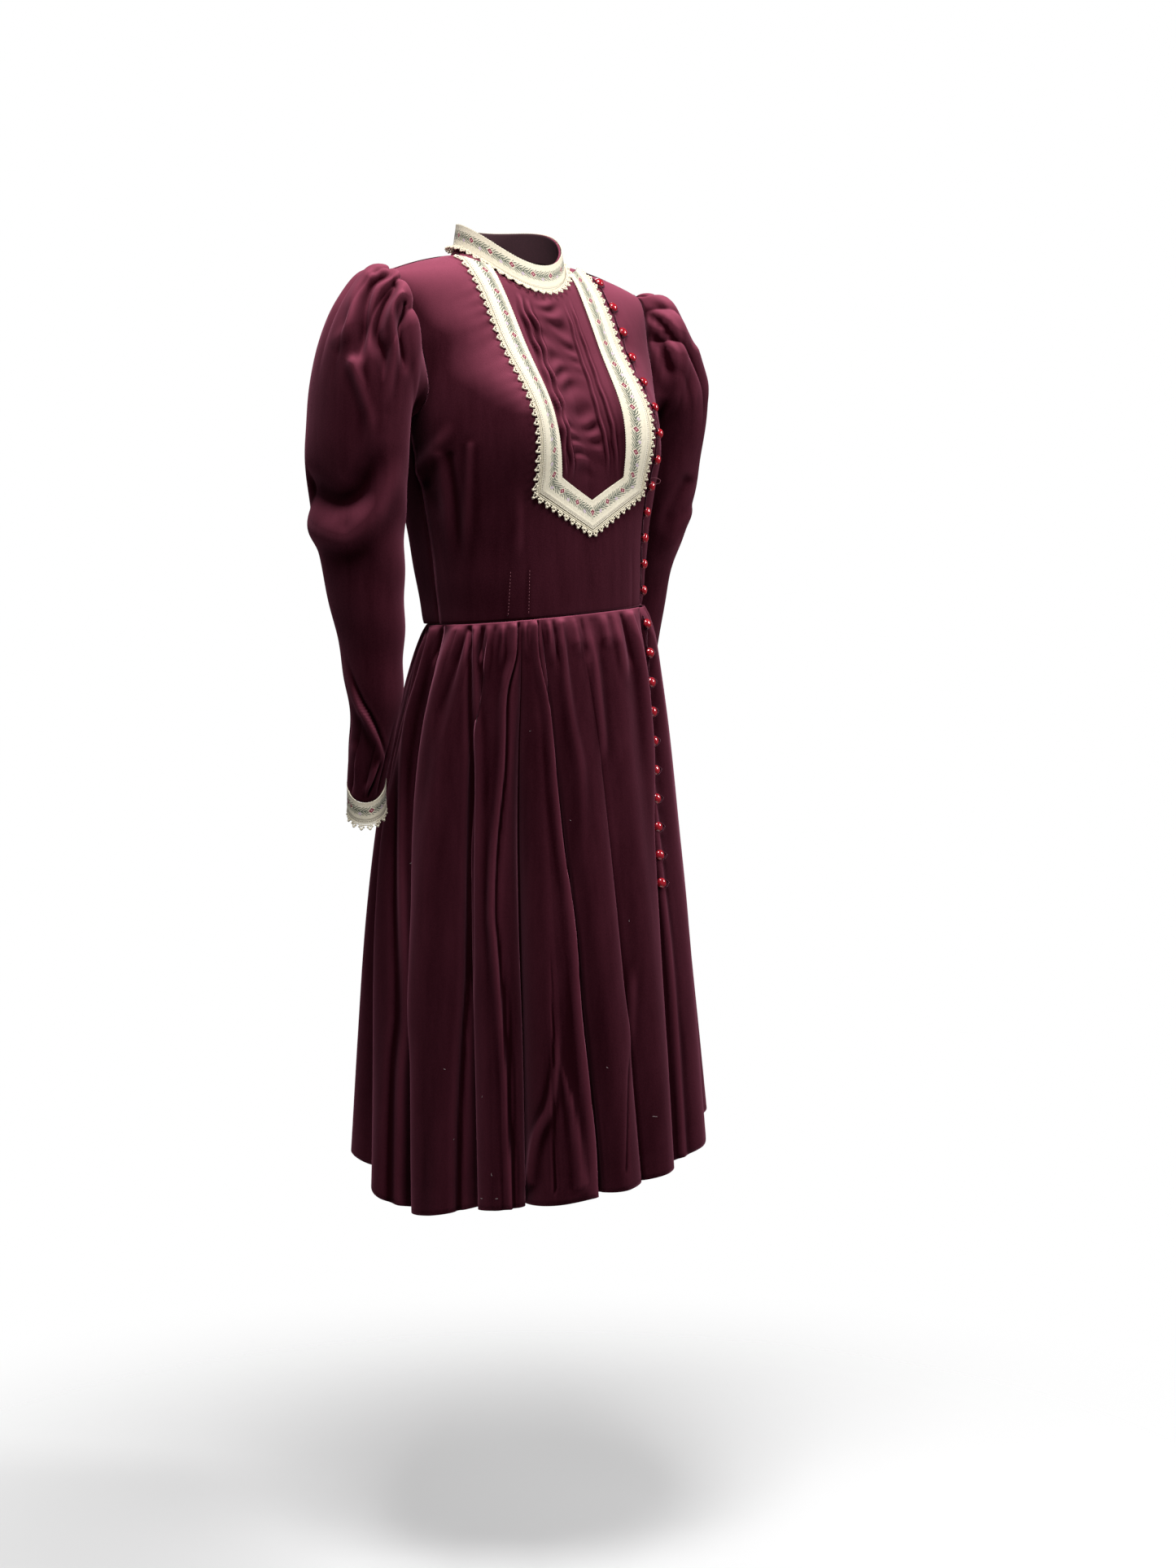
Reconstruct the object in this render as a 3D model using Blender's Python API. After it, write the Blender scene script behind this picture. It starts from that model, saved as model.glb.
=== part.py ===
"""Prairie dress in burgundy velvet, filled out as when worn, in metres.

+Z is up, the front faces -Y and the wearer's left side is +X. The origin is the middle of the
wearer's shoulders at the base of the neck, from where the dress hangs.
"""
import math

import bmesh
import bpy
import numpy as np
from mathutils.bvhtree import BVHTree

WALL = 0.0022
SEAM_GAP = 0.0003
RIBBON_WALL = 0.0011
RIBBON_LIFT = 0.0011
RIBBON_WIDTH = 0.028

WAIST_Z = -0.420
UNDERARM_Z = -0.205
HEM_Z = -1.048
# The hem hangs lowest at the right front, and the waist is a little lower on the right too.
HEM_RISE = 0.047
HEM_LOW_ANGLE = -50
HEM_RISE_LIMIT = 110
# A further drop of the hem at the right side: how far, round which angle, how wide.
HEM_DROP = 0.020
HEM_DROP_ANGLE = -82
HEM_DROP_SPREAD = 20
WAIST_TILT = 0.09
WAIST_TILT_REACH = 0.15

# Bodice sections: height, half width, depth in front of the axis, depth behind it.
BODY = (
    (-0.420, 0.126, 0.112, 0.082),
    (-0.360, 0.133, 0.112, 0.091),
    (-0.300, 0.144, 0.111, 0.102),
    (-0.250, 0.156, 0.105, 0.110),
    (-0.205, 0.166, 0.090, 0.113),
    (-0.150, 0.170, 0.069, 0.114),
    (-0.100, 0.174, 0.050, 0.110),
    (-0.050, 0.184, 0.035, 0.100),
    (0.020, 0.205, 0.022, 0.085),
)
SECTION_POWER = 2.6
BUST_REACH = 0.033
BUST_X = 0.086
BUST_Z = -0.205
BUST_SPREAD_X = 0.050
BUST_SPREAD_Z = 0.068

NECK_Y = 0.029
NECK_RADIUS_X = 0.064
NECK_RADIUS_Y = 0.060
NECK_DROP_FRONT = 0.062
NECK_DROP_BACK = 0.010
SHOULDER = (0.178, 0.018, -0.046)
SHOULDER_ROUND = 0.085
NECK_ROUND = 0.030

# Armhole edge: share of the way up from the underarm, half width of the front, of the back.
ARMHOLE = (
    (0.00, 0.166, 0.166),
    (0.20, 0.162, 0.160),
    (0.45, 0.165, 0.158),
    (0.75, 0.171, 0.164),
    (1.00, 0.180, 0.180),
)

# Button edge of the wide front panel: height, distance to the wearer's left of the centre.
CLOSURE = (
    (-0.420, 0.085),
    (-0.330, 0.083),
    (-0.260, 0.088),
    (-0.200, 0.0925),
    (-0.110, 0.0960),
    (-0.050, 0.0955),
    (0.010, 0.092),
)
UNDERLAP = 0.016
UNDERLAP_TOP = 0.006
LAP_SINK = WALL + 0.0009
# How far past the button edge the panel under it stays sunk, and over what width it comes up.
LAP_REACH = 0.006
LAP_RISE = 0.022

# Rows of the bodice grid: all, and those from the waist to the underarm.
BODICE_ROWS = 14
BODICE_LOW_ROWS = 6
# Columns of the bodice grid, over a side of the front, its middle, its strip by the buttons,
# the left panel and the middle of the back.
SIDE_COLUMNS = 6
CENTRE_COLUMNS = 12
EDGE_COLUMNS = 2
LEFT_COLUMNS = 6
BACK_COLUMNS = 8
# The column where the neckline meets the shoulder, as w on the top row.
NECK_W = 0.5
# At the waist that column lies this share of the way to the button edge.
NECK_COLUMN_SHARE = 0.82

# Skirt sections at the crests of its folds: height, half width, half depth, fold depth, how far
# forward the middle lies, and the section's power, which is 2 for an ellipse.
SKIRT = (
    (-0.4203, 0.1260, 0.0970, 0.001, 0.015, 2.6),
    (-0.432, 0.1310, 0.1020, 0.003, 0.014, 2.6),
    (-0.455, 0.1390, 0.1110, 0.006, 0.012, 2.5),
    (-0.500, 0.1510, 0.1240, 0.010, 0.008, 2.3),
    (-0.570, 0.1680, 0.1400, 0.015, 0.003, 2.1),
    (-0.660, 0.1820, 0.1550, 0.021, 0.000, 2.0),
    (-0.770, 0.1920, 0.1690, 0.026, 0.000, 2.0),
    (-0.905, 0.1990, 0.1830, 0.031, 0.000, 2.0),
    (HEM_Z, 0.2070, 0.1950, 0.036, 0.000, 2.0),
)

# Valleys between the skirt's folds: angle from the centre front at the waist and at the hem in
# degrees, towards the wearer's left, how deep the valley is, and how far its lip leans over it.
VALLEYS = (
    (-166, -164, 0.9, 0.3),
    (-140, -136, 0.9, -0.3),
    (-115, -108, 1.0, 0.3),
    (-92, -83, 0.9, -0.3),
    (-59, -55, 0.9, -0.5),
    (-37, -40, 1.0, 0.6),
    (-25, -15, 1.0, 0.7),
    (-6, 1, 0.35, 0.2),
    (38, 16, 0.5, 0.15),
    (60, 50, 0.6, -0.2),
    (84, 84, 0.9, 0.2),
    (110, 111, 0.9, -0.2),
    (138, 139, 1.0, 0.3),
    (166, 168, 0.9, -0.3),
)
COLUMNS_PER_FOLD = 9
FOLD_POWER = 0.75
# A fold's edge leans over its valley by up to this many degrees, over this share of the fold.
LIP_LEAN = 5.0
LIP_SHARE = 0.38
# Gathers below the waist: depth, and the drops at which they start, are full and fade out.
GATHER_DEPTH = 0.0026
GATHER_START = 0.012
GATHER_FULL = 0.03
GATHER_FADE = 0.13
SKIRT_RIGHT_SEAM = 3
SKIRT_EDGE = 8
# The button edge turns to its hem angle early, so that it runs nearly straight down.
SKIRT_EDGE_BEND = 0.35
SKIRT_LEFT_SEAM = 10
SKIRT_LAP_COLUMNS = 3

# Sleeve: outer edge x and z, inner edge x and z, depth of its middle, half depth, gather depth.
SLEEVE = (
    (0.190, -0.0415, 0.1745, -0.2110, 0.011, 0.059, 0.0050),
    (0.205, -0.0425, 0.1800, -0.219, 0.012, 0.066, 0.0060),
    (0.221, -0.058, 0.1810, -0.231, 0.014, 0.067, 0.0050),
    (0.242, -0.090, 0.1790, -0.246, 0.015, 0.068, 0.0030),
    (0.259, -0.136, 0.1770, -0.265, 0.016, 0.068, 0.0015),
    (0.2695, -0.203, 0.1750, -0.296, 0.018, 0.065, 0.0008),
    (0.267, -0.275, 0.1740, -0.340, 0.021, 0.059, 0.0006),
    (0.256, -0.350, 0.1750, -0.390, 0.015, 0.049, 0.0006),
    (0.246, -0.430, 0.1790, -0.450, 0.007, 0.0385, 0.0008),
    (0.2395, -0.493, 0.1860, -0.502, 0.000, 0.030, 0.0014),
    (0.2390, -0.593, 0.1975, -0.595, 0.009, 0.0212, 0.0016),
)
# The left sleeve hangs further back: height, how far.
LEFT_SLEEVE_BACK = (
    (-0.170, 0.000),
    (-0.240, 0.016),
    (-0.300, 0.020),
    (-0.370, 0.038),
    (-0.440, 0.057),
    (-0.495, 0.068),
    (-0.545, 0.066),
    (-0.620, 0.064),
)
SLEEVE_COLUMNS = 36
CUFF_TOP_Z = -0.5955
CUFF_HEIGHT = 0.0295
CUFF_RADIUS = 0.0212
CUFF_CENTRE = (0.218, 0.009)
CUFF_WALL = 0.0018
# The sleeve's lower end slopes down to the front and outside, its lower edge a little less, and
# is that share wider along the slope than across it.
CUFF_SLOPE = 0.90
CUFF_SLOPE_LOW = 0.65
CUFF_OVAL = 0.18
CUFF_SLOPE_WAY = (0.63, -0.78)
CUFF_SLOPE_TOP_Z = -0.440
CUFF_SLOPE_REACH = 0.140
ARMHOLE_GAP = 0.0014
ARMHOLE_GATHER = 0.0010
ARMHOLE_MIDDLE = (0.005, -0.125)
# Columns under the arm lie this many times further apart than those of the gathered cap.
UNDERARM_SPACING = 2.2
UNDERARM_COLUMNS = 14

COLLAR_HEIGHT = 0.028
COLLAR_LEAN = 0.004
COLLAR_END_ANGLE = 74
COLLAR_OPEN = 0.02
COLLAR_LIFT = 0.0028
COLLAR_PICOT_RISE = 0.0045
COLLAR_COLUMNS = 32
# The picot edge falls this steeply from the collar, more at the front and less at the back.
PICOT_SLOPE = 0.48
PICOT_SLOPE_CHANGE = 0.32
# The ribbon sits this share of the collar's height above the band, and hides its top edge.
COLLAR_RIBBON_SHIFT = 0.04

BIB_INNER_HALF = ((-0.036, 0.0565), (-0.120, 0.0535), (-0.200, 0.0500), (-0.272, 0.0440))
BIB_INNER_CORNER_Z = -0.272
BIB_INNER_POINT_Z = -0.297
BIB_TOP_Z = -0.042
BIB_TOP_SLOPE = 0.40
BIB_ARM_STEPS = 14
BIB_FOOT_STEPS = 4
BIB_ACROSS = 3
PICOT_PITCH = 0.0092
PICOT_GAP = 0.0010
PICOT_BAND = 0.0026
PICOT_REACH = 0.0088

TUCK_X = (-0.0385, -0.0275, 0.0255, 0.0365)
TUCK_TOP_Z = (-0.068, -0.074, -0.075, -0.070)
TUCK_BOTTOM_Z = -0.266
TUCK_WIDTH = 0.0052
TUCK_HEIGHT = 0.0026
TUCK_LIFT = 0.0007
TUCK_EDGE = 0.0004
TUCK_WAVE = 0.0012
TUCK_STEPS = 10

BUTTON_SIDES = 8
BODICE_BUTTONS = 13
BODICE_BUTTON_TOP_Z = -0.040
BODICE_BUTTON_PITCH = 0.0302
SKIRT_BUTTONS = 10
SKIRT_BUTTON_TOP_Z = -0.440
SKIRT_BUTTON_PITCH = 0.0318
BUTTON_OUT = 0.0066
LOOP_RADIUS = 0.0008
LOOP_ASIDE = 0.0046
LOOP_LIFT = 0.0014
# Buttons and loops find the panel under them within this distance.
SETTLE_REACH = 0.012
# A button's outline from its shank up: radius, height above the cloth.
BUTTON_PROFILE = (
    (0.0016, 0.0004),
    (0.0016, 0.0035),
    (0.0058, 0.0040),
    (0.0050, 0.0066),
    (0.0026, 0.0083),
)
# One loop: distance up from the button's middle, distance out from the button edge.
LOOP_SHAPE = (
    (0.0100, 0.0), (0.0056, 0.0010), (0.0042, 0.0072), (0.0, 0.0122),
    (-0.0042, 0.0072), (-0.0056, 0.0010), (-0.0100, 0.0),
)

VELVET = ("velvet", (0.075, 0.012, 0.026), 0.85)
RIBBON = ("woven_ribbon", (0.86, 0.80, 0.62), 0.7)
PICOT = ("cotton_picot", (0.90, 0.86, 0.72), 0.8)
GLASS = ("button_glass", (0.45, 0.01, 0.03), 0.12)


def clear_scene():
    for obj in list(bpy.data.objects):
        bpy.data.objects.remove(obj, do_unlink=True)


def material(spec):
    name, colour, roughness = spec
    found = bpy.data.materials.get(name)
    if found:
        return found
    made = bpy.data.materials.new(name)
    made.use_nodes = True
    shader = made.node_tree.nodes["Principled BSDF"]
    shader.inputs["Base Color"].default_value = (*colour, 1)
    shader.inputs["Roughness"].default_value = roughness
    made.diffuse_color = (*colour, 1)
    return made


def smooth_step(value):
    value = min(max(value, 0.0), 1.0)
    return value * value * (3 - 2 * value)


def read(table, key, column):
    """A value from a table sorted by its first column, on a smooth curve through its rows."""
    rows = sorted(table)
    keys = [row[0] for row in rows]
    values = [row[column] for row in rows]
    if key <= keys[0]:
        return values[0]
    if key >= keys[-1]:
        return values[-1]
    i = max(j for j in range(len(keys) - 1) if keys[j] <= key)
    slopes = []
    for j in (i, i + 1):
        low = max(j - 1, 0)
        high = min(j + 1, len(keys) - 1)
        slopes.append((values[high] - values[low]) / (keys[high] - keys[low]))
    span = keys[i + 1] - keys[i]
    t = (key - keys[i]) / span
    start = (2 * t ** 3 - 3 * t ** 2 + 1) * values[i] + (t ** 3 - 2 * t ** 2 + t) * span * slopes[0]
    end = (3 * t ** 2 - 2 * t ** 3) * values[i + 1] + (t ** 3 - t ** 2) * span * slopes[1]
    return start + end


def unit(vector):
    vector = np.asarray(vector, dtype=float)
    return vector / max(np.linalg.norm(vector), 1e-12)


def neck_point(angle):
    """Point on the neckline, at an angle in radians from the centre front to the left."""
    front = (1 + math.cos(angle)) / 2
    z = -NECK_DROP_FRONT * front ** 2.4 - NECK_DROP_BACK * (1 - front)
    x = NECK_RADIUS_X * math.sin(angle)
    y = NECK_Y - NECK_RADIUS_Y * math.cos(angle)
    return np.array((x, y, z))


def top_line(x, side):
    """Depth and height of a panel's top line at x, and its rounding; side is -1 front, 1 back."""
    x = abs(x)
    neck_side = neck_point(math.pi / 2)
    if x < NECK_RADIUS_X:
        angle = math.asin(min(x / NECK_RADIUS_X, 1.0))
        point = neck_point(angle if side < 0 else math.pi - angle)
        mix = smooth_step(x / NECK_RADIUS_X)
        return point[1], point[2], NECK_ROUND + (SHOULDER_ROUND - NECK_ROUND) * mix
    share = (x - NECK_RADIUS_X) / (SHOULDER[0] - NECK_RADIUS_X)
    y = neck_side[1] + (SHOULDER[1] - neck_side[1]) * share
    z = neck_side[2] + (SHOULDER[2] - neck_side[2]) * share + 0.004 * math.sin(math.pi * share)
    return y, z, SHOULDER_ROUND


def body_point(x, z, side):
    """Point of the bodice's outer surface at x and height z."""
    half = read(BODY, z, 1)
    depth = read(BODY, z, 2 if side < 0 else 3)
    ratio = min(abs(x) / half, 1.0)
    section = side * depth * (1 - ratio ** SECTION_POWER) ** (1 / SECTION_POWER)
    if side < 0:
        across = (abs(x) - BUST_X) / BUST_SPREAD_X
        up = (z - BUST_Z) / BUST_SPREAD_Z
        section -= BUST_REACH * math.exp(-across * across - up * up) * math.sqrt(1 - ratio ** 4)
    top_y, top_z, rounding = top_line(x, side)
    drop = min(max((top_z - z) / rounding, 0.0), 1.0)
    share = math.sqrt(1 - (1 - drop) ** 2)
    return np.array((x, top_y + (section - top_y) * share, z))


def body_normal(x, z, side):
    step = 0.003
    across = body_point(x + step, z, side) - body_point(x - step, z, side)
    up = body_point(x, z + step, side) - body_point(x, z - step, side)
    return unit(np.cross(across, up)) * -side


def closure_x(z):
    return read(CLOSURE, z, 1)


def panel_point(w, v, side):
    """Bodice point: w runs from -1 right side to 1 left side, v 0 waist, 1 underarm, 2 top."""
    across = abs(w)
    if v <= 1:
        z = WAIST_Z + SEAM_GAP / 2 + (UNDERARM_Z - WAIST_Z) * v
        x = read(BODY, z, 1) * math.sin(across * math.pi / 2)
        return body_point(math.copysign(x, w), z, side)
    t = v - 1
    arm_x = read(ARMHOLE, t, 1 if side < 0 else 2)
    if across <= NECK_W:
        top_x = NECK_RADIUS_X * math.sin(across / NECK_W * math.pi / 2)
    else:
        top_x = NECK_RADIUS_X + (SHOULDER[0] - NECK_RADIUS_X) * (across - NECK_W) / (1 - NECK_W)
    low = math.sin(across * math.pi / 2)
    high = top_x / SHOULDER[0]
    x = math.copysign(arm_x * (low + (high - low) * t ** 1.3), w)
    top_z = top_line(math.copysign(top_x, w), side)[1]
    z = UNDERARM_Z + (top_z - UNDERARM_Z) * t
    return body_point(x, z, side)


def armhole_point(angle):
    """Point on the left armhole, 0 at the shoulder, positive to the front."""
    side = -1 if math.sin(angle) >= 0 else 1
    t = (1 + math.cos(angle)) / 2
    z = UNDERARM_Z + (SHOULDER[2] - UNDERARM_Z) * t
    return body_point(read(ARMHOLE, t, 1 if side < 0 else 2), z, side)


def grid_normals(points, wrap):
    rows, columns = points.shape[:2]
    if wrap:
        across = np.roll(points, -1, axis=1) - np.roll(points, 1, axis=1)
    else:
        across = np.gradient(points, axis=1)
    along = np.gradient(points, axis=0)
    normals = np.cross(across, along)
    lengths = np.linalg.norm(normals, axis=2, keepdims=True)
    return normals / np.maximum(lengths, 1e-12)


def share_normals(first, second):
    """Two rows or columns of normals that meet at a seam become their mean."""
    mean = first + second
    mean = mean / np.linalg.norm(mean, axis=-1, keepdims=True)
    first[...] = mean
    second[...] = mean


def wall(name, spec, outer, inner, wrap=False):
    """Closed wall between two grids of points; wrap closes it round its columns."""
    rows, columns = outer.shape[:2]
    mesh = bmesh.new()
    out = [[mesh.verts.new(outer[r, c]) for c in range(columns)] for r in range(rows)]
    ins = [[mesh.verts.new(inner[r, c]) for c in range(columns)] for r in range(rows)]
    last = columns if wrap else columns - 1
    for r in range(rows - 1):
        for c in range(last):
            d = (c + 1) % columns
            add_quad(mesh, out[r][c], out[r][d], out[r + 1][d], out[r + 1][c])
            add_quad(mesh, ins[r][d], ins[r][c], ins[r + 1][c], ins[r + 1][d])
    for c in range(last):
        d = (c + 1) % columns
        add_quad(mesh, out[0][d], out[0][c], ins[0][c], ins[0][d])
        add_quad(mesh, out[-1][c], out[-1][d], ins[-1][d], ins[-1][c])
    if not wrap:
        for r in range(rows - 1):
            add_quad(mesh, out[r][0], out[r + 1][0], ins[r + 1][0], ins[r][0])
            add_quad(mesh, out[r + 1][-1], out[r][-1], ins[r][-1], ins[r + 1][-1])
    return finish(name, spec, mesh)


def split_quad(corners, places):
    """A quad's corners as two triangles, split along its shorter diagonal."""
    a, b, c, d = corners
    if np.linalg.norm(places[0] - places[2]) <= np.linalg.norm(places[1] - places[3]):
        return (a, b, c), (a, c, d)
    return (a, b, d), (b, c, d)


def add_quad(mesh, *corners):
    places = [np.array(corner.co) for corner in corners]
    for triangle in split_quad(corners, places):
        mesh.faces.new(triangle)


def surface(points):
    """A search tree of a panel's outer face, on which buttons and loops are laid."""
    rows, columns = points.shape[:2]
    places = points.reshape(-1, 3)
    triangles = []
    for r in range(rows - 1):
        for c in range(columns - 1):
            low = r * columns + c
            corners = (low, low + 1, low + columns + 1, low + columns)
            triangles += split_quad(corners, [places[i] for i in corners])
    return BVHTree.FromPolygons([tuple(place) for place in places], triangles)


def settle(point, out, tree):
    """The point moved along out, on to the panel below or above it."""
    place, *_ = tree.ray_cast(tuple(point + out * SETTLE_REACH), tuple(-out), 2 * SETTLE_REACH)
    return point if place is None else np.array(place)


def finish(name, spec, mesh):
    for vertex in mesh.verts:
        near = math.exp(-((vertex.co.z - WAIST_Z) / WAIST_TILT_REACH) ** 2)
        vertex.co.z += WAIST_TILT * vertex.co.x * near
    bmesh.ops.recalc_face_normals(mesh, faces=mesh.faces)
    if mesh.calc_volume(signed=True) < 0:
        bmesh.ops.reverse_faces(mesh, faces=mesh.faces)
    data = bpy.data.meshes.new(name)
    mesh.to_mesh(data)
    mesh.free()
    data.shade_smooth()
    data.set_sharp_from_angle(angle=math.radians(50))
    data.materials.append(material(spec))
    obj = bpy.data.objects.new(name, data)
    bpy.context.scene.collection.objects.link(obj)
    return obj


def inset(outer, inner, top=0.0, bottom=0.0, left=0.0, right=0.0):
    """Draws a grid's edges in from a seam, on both faces of the wall alike."""
    for edge, amount in (("top", top), ("bottom", bottom), ("left", left), ("right", right)):
        if not amount:
            continue
        if edge == "top":
            here, back = (-1, slice(None)), (-2, slice(None))
        elif edge == "bottom":
            here, back = (0, slice(None)), (1, slice(None))
        elif edge == "left":
            here, back = (slice(None), 0), (slice(None), 1)
        else:
            here, back = (slice(None), -1), (slice(None), -2)
        way = outer[back] - outer[here]
        way = way / np.linalg.norm(way, axis=-1, keepdims=True) * amount
        outer[here] += way
        inner[here] += way


def bodice_rows():
    """v of each row, closer together towards the bust and again towards the shoulder."""
    low = []
    for i in range(BODICE_LOW_ROWS + 1):
        share = i / BODICE_LOW_ROWS
        low.append((share + math.sin(math.pi / 2 * share)) / 2)
    high_rows = BODICE_ROWS - BODICE_LOW_ROWS
    high = [1 + math.sin(math.pi / 2 * (i + 1) / high_rows) for i in range(high_rows)]
    return low + high


def w_at(x, v, side):
    """The panel's own w where it passes x at row v."""
    low, high = 0.0, 1.0
    for _ in range(40):
        mid = (low + high) / 2
        if panel_point(mid, v, side)[0] < x:
            low = mid
        else:
            high = mid
    return (low + high) / 2


def closure_w(v, shift=0.0):
    """w of the button edge at row v, moved to the right by shift."""
    z = WAIST_Z + (UNDERARM_Z - WAIST_Z) * v
    if v > 1:
        z = UNDERARM_Z - UNDERARM_Z * (v - 1)
    return w_at(closure_x(z) - shift, v, -1)


def spread(start, end, steps):
    """Even steps from start to end, both of them included."""
    return [start + (end - start) * i / steps for i in range(steps + 1)]


def front_columns(v):
    """w of each column of the wide front panel, from the right side seam to the button edge."""
    edge = closure_w(v)
    share = smooth_step(v - 1)
    neck = edge * NECK_COLUMN_SHARE * (1 - share) + NECK_W * share
    right = spread(-1.0, -NECK_W, SIDE_COLUMNS)[:-1]
    centre = spread(-NECK_W, neck, CENTRE_COLUMNS)
    left = spread(neck, edge, EDGE_COLUMNS)[1:]
    return right + centre + left


def back_columns():
    right = spread(-1.0, -NECK_W, SIDE_COLUMNS)[:-1]
    left = spread(NECK_W, 1.0, SIDE_COLUMNS)[1:]
    return right + spread(-NECK_W, NECK_W, BACK_COLUMNS) + left


def left_columns(v):
    """w of each column of the narrow left panel, which starts under the button edge."""
    share = smooth_step(v - 1)
    start = closure_w(v, UNDERLAP * (1 - share) + UNDERLAP_TOP * share)
    return [start] + spread(closure_w(v), 1.0, LEFT_COLUMNS)


def make_bodice():
    rows = bodice_rows()
    front = np.array([[panel_point(w, v, -1) for w in front_columns(v)] for v in rows])
    left = np.array([[panel_point(w, v, -1) for w in left_columns(v)] for v in rows])
    back = np.array([[panel_point(w, v, 1) for w in back_columns()] for v in rows])
    front_n = grid_normals(front, False)
    left_n = grid_normals(left, False)
    back_n = -grid_normals(back, False)
    share_normals(front_n[:, 0], back_n[:, 0])
    share_normals(left_n[:, -1], back_n[:, -1])
    shoulder = SIDE_COLUMNS + 1
    share_normals(front_n[-1, :shoulder], back_n[-1, :shoulder])
    share_normals(left_n[-1, 1:], back_n[-1, -left_n.shape[1] + 1:])
    for r, row in enumerate(left):
        edge_x = closure_x(row[1][2])
        for c, point in enumerate(row):
            sink = 1 - smooth_step((point[0] - edge_x - LAP_REACH) / LAP_RISE)
            point -= left_n[r, c] * LAP_SINK * sink
    for name, points, normals, sides in (
        ("bodice_front", front, front_n, (SEAM_GAP, 0.0)),
        ("bodice_front_left", left, left_n, (0.0, SEAM_GAP)),
        ("bodice_back", back, back_n, (0.0, 0.0)),
    ):
        inner = points - normals * WALL
        inset(points, inner, top=SEAM_GAP, left=sides[0], right=sides[1])
        wall(name, VELVET, points, inner)
    return surface(left)


def valley_angle(index, share):
    """Angle in degrees of a valley, share 0 at the waist and 1 at the hem; goes round past 360."""
    turns, i = divmod(index, len(VALLEYS))
    if i == SKIRT_EDGE:
        share = share ** SKIRT_EDGE_BEND
    return VALLEYS[i][0] + (VALLEYS[i][1] - VALLEYS[i][0]) * share + 360 * turns


def turn_apart(angle, other):
    """Degrees from other to angle, between -180 and 180."""
    return (angle - other + 180) % 360 - 180


def skirt_point(fold, t, z, column):
    """Outer point of the skirt, at share t across the fold that follows valley number fold."""
    share = (WAIST_Z - z) / (WAIST_Z - HEM_Z)
    start = valley_angle(fold, share)
    end = valley_angle(fold + 1, share)
    angle = start + (end - start) * t
    before = VALLEYS[fold % len(VALLEYS)]
    after = VALLEYS[(fold + 1) % len(VALLEYS)]
    ahead = max(after[3], 0) * math.sin(math.pi * min(max((t - 1) / LIP_SHARE + 1, 0), 1))
    behind = min(before[3], 0) * math.sin(math.pi * min(max(1 - t / LIP_SHARE, 0), 1))
    angle += LIP_LEAN * (ahead + behind) * smooth_step(share * 1.3)
    half, depth, fold_depth, forward, power = (read(SKIRT, z, i) for i in range(1, 6))
    valley = before[2] * (1 - t) + after[2] * t
    lobe = math.sin(math.pi * t) ** FOLD_POWER
    sunk = fold_depth * valley * (1 - lobe)
    below = WAIST_Z - z
    fade = smooth_step(below / GATHER_START) * (1 - smooth_step((below - GATHER_FULL) / GATHER_FADE))
    if column % 3 == 0:
        sunk += GATHER_DEPTH * fade
    turn = math.radians(angle)
    aside = min(abs(turn_apart(angle, HEM_LOW_ANGLE)), HEM_RISE_LIMIT)
    drop = HEM_DROP * math.exp(-(turn_apart(angle, HEM_DROP_ANGLE) / HEM_DROP_SPREAD) ** 2)
    z += (HEM_RISE * (1 - math.cos(math.radians(aside))) - drop) * share ** 2
    way = unit((depth * math.sin(turn), -half * math.cos(turn), 0))
    x = half * abs(math.sin(turn)) ** (2 / power)
    y = depth * abs(math.cos(turn)) ** (2 / power)
    place = (math.copysign(x, math.sin(turn)), -math.copysign(y, math.cos(turn)) - forward, z)
    return np.array(place) - way * sunk


def skirt_grid(first, last):
    """Points from column first to last, counted round from the first valley, hem row first."""
    heights = [row[0] for row in reversed(SKIRT)]
    grid = []
    for z in heights:
        grid.append([
            skirt_point(c // COLUMNS_PER_FOLD, c % COLUMNS_PER_FOLD / COLUMNS_PER_FOLD, z, c)
            for c in range(first, last + 1)
        ])
    return np.array(grid)


def make_skirt():
    right_seam = SKIRT_RIGHT_SEAM * COLUMNS_PER_FOLD
    edge = SKIRT_EDGE * COLUMNS_PER_FOLD
    left_seam = SKIRT_LEFT_SEAM * COLUMNS_PER_FOLD
    turn = len(VALLEYS) * COLUMNS_PER_FOLD
    around = skirt_grid(right_seam, right_seam + turn)
    normals = grid_normals(around, False)
    share_normals(normals[:, 0], normals[:, -1])
    spans = (
        ("skirt_front", right_seam, edge),
        ("skirt_front_left", edge - SKIRT_LAP_COLUMNS, left_seam),
        ("skirt_back", left_seam, right_seam + turn),
    )
    for name, first, last in spans:
        columns = slice(first - right_seam, last - right_seam + 1)
        points = around[:, columns].copy()
        own = normals[:, columns]
        sides = [SEAM_GAP / 2, SEAM_GAP / 2]
        if name == "skirt_front":
            sides[1] = 0.0
        if name == "skirt_front_left":
            sides[0] = 0.0
            for c in range(points.shape[1]):
                sink = 1 - smooth_step((c - SKIRT_LAP_COLUMNS - 1) / 3)
                points[:, c] -= own[:, c] * LAP_SINK * sink
        inner = points - own * WALL
        inset(points, inner, left=sides[0], right=sides[1])
        wall(name, VELVET, points, inner)
        if name == "skirt_front_left":
            left = surface(points)
    return left


def sleeve_angles():
    """Angles round the sleeve from the shoulder, closer together over the gathered cap."""
    steps = []
    for i in range(SLEEVE_COLUMNS):
        under = abs(i - SLEEVE_COLUMNS / 2 + 0.5) <= UNDERARM_COLUMNS / 2
        steps.append(UNDERARM_SPACING if under else 1.0)
    total = sum(steps)
    angles = [0.0]
    for step in steps[:-1]:
        angles.append(angles[-1] + step)
    return [2 * math.pi * a / total for a in angles]


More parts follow.
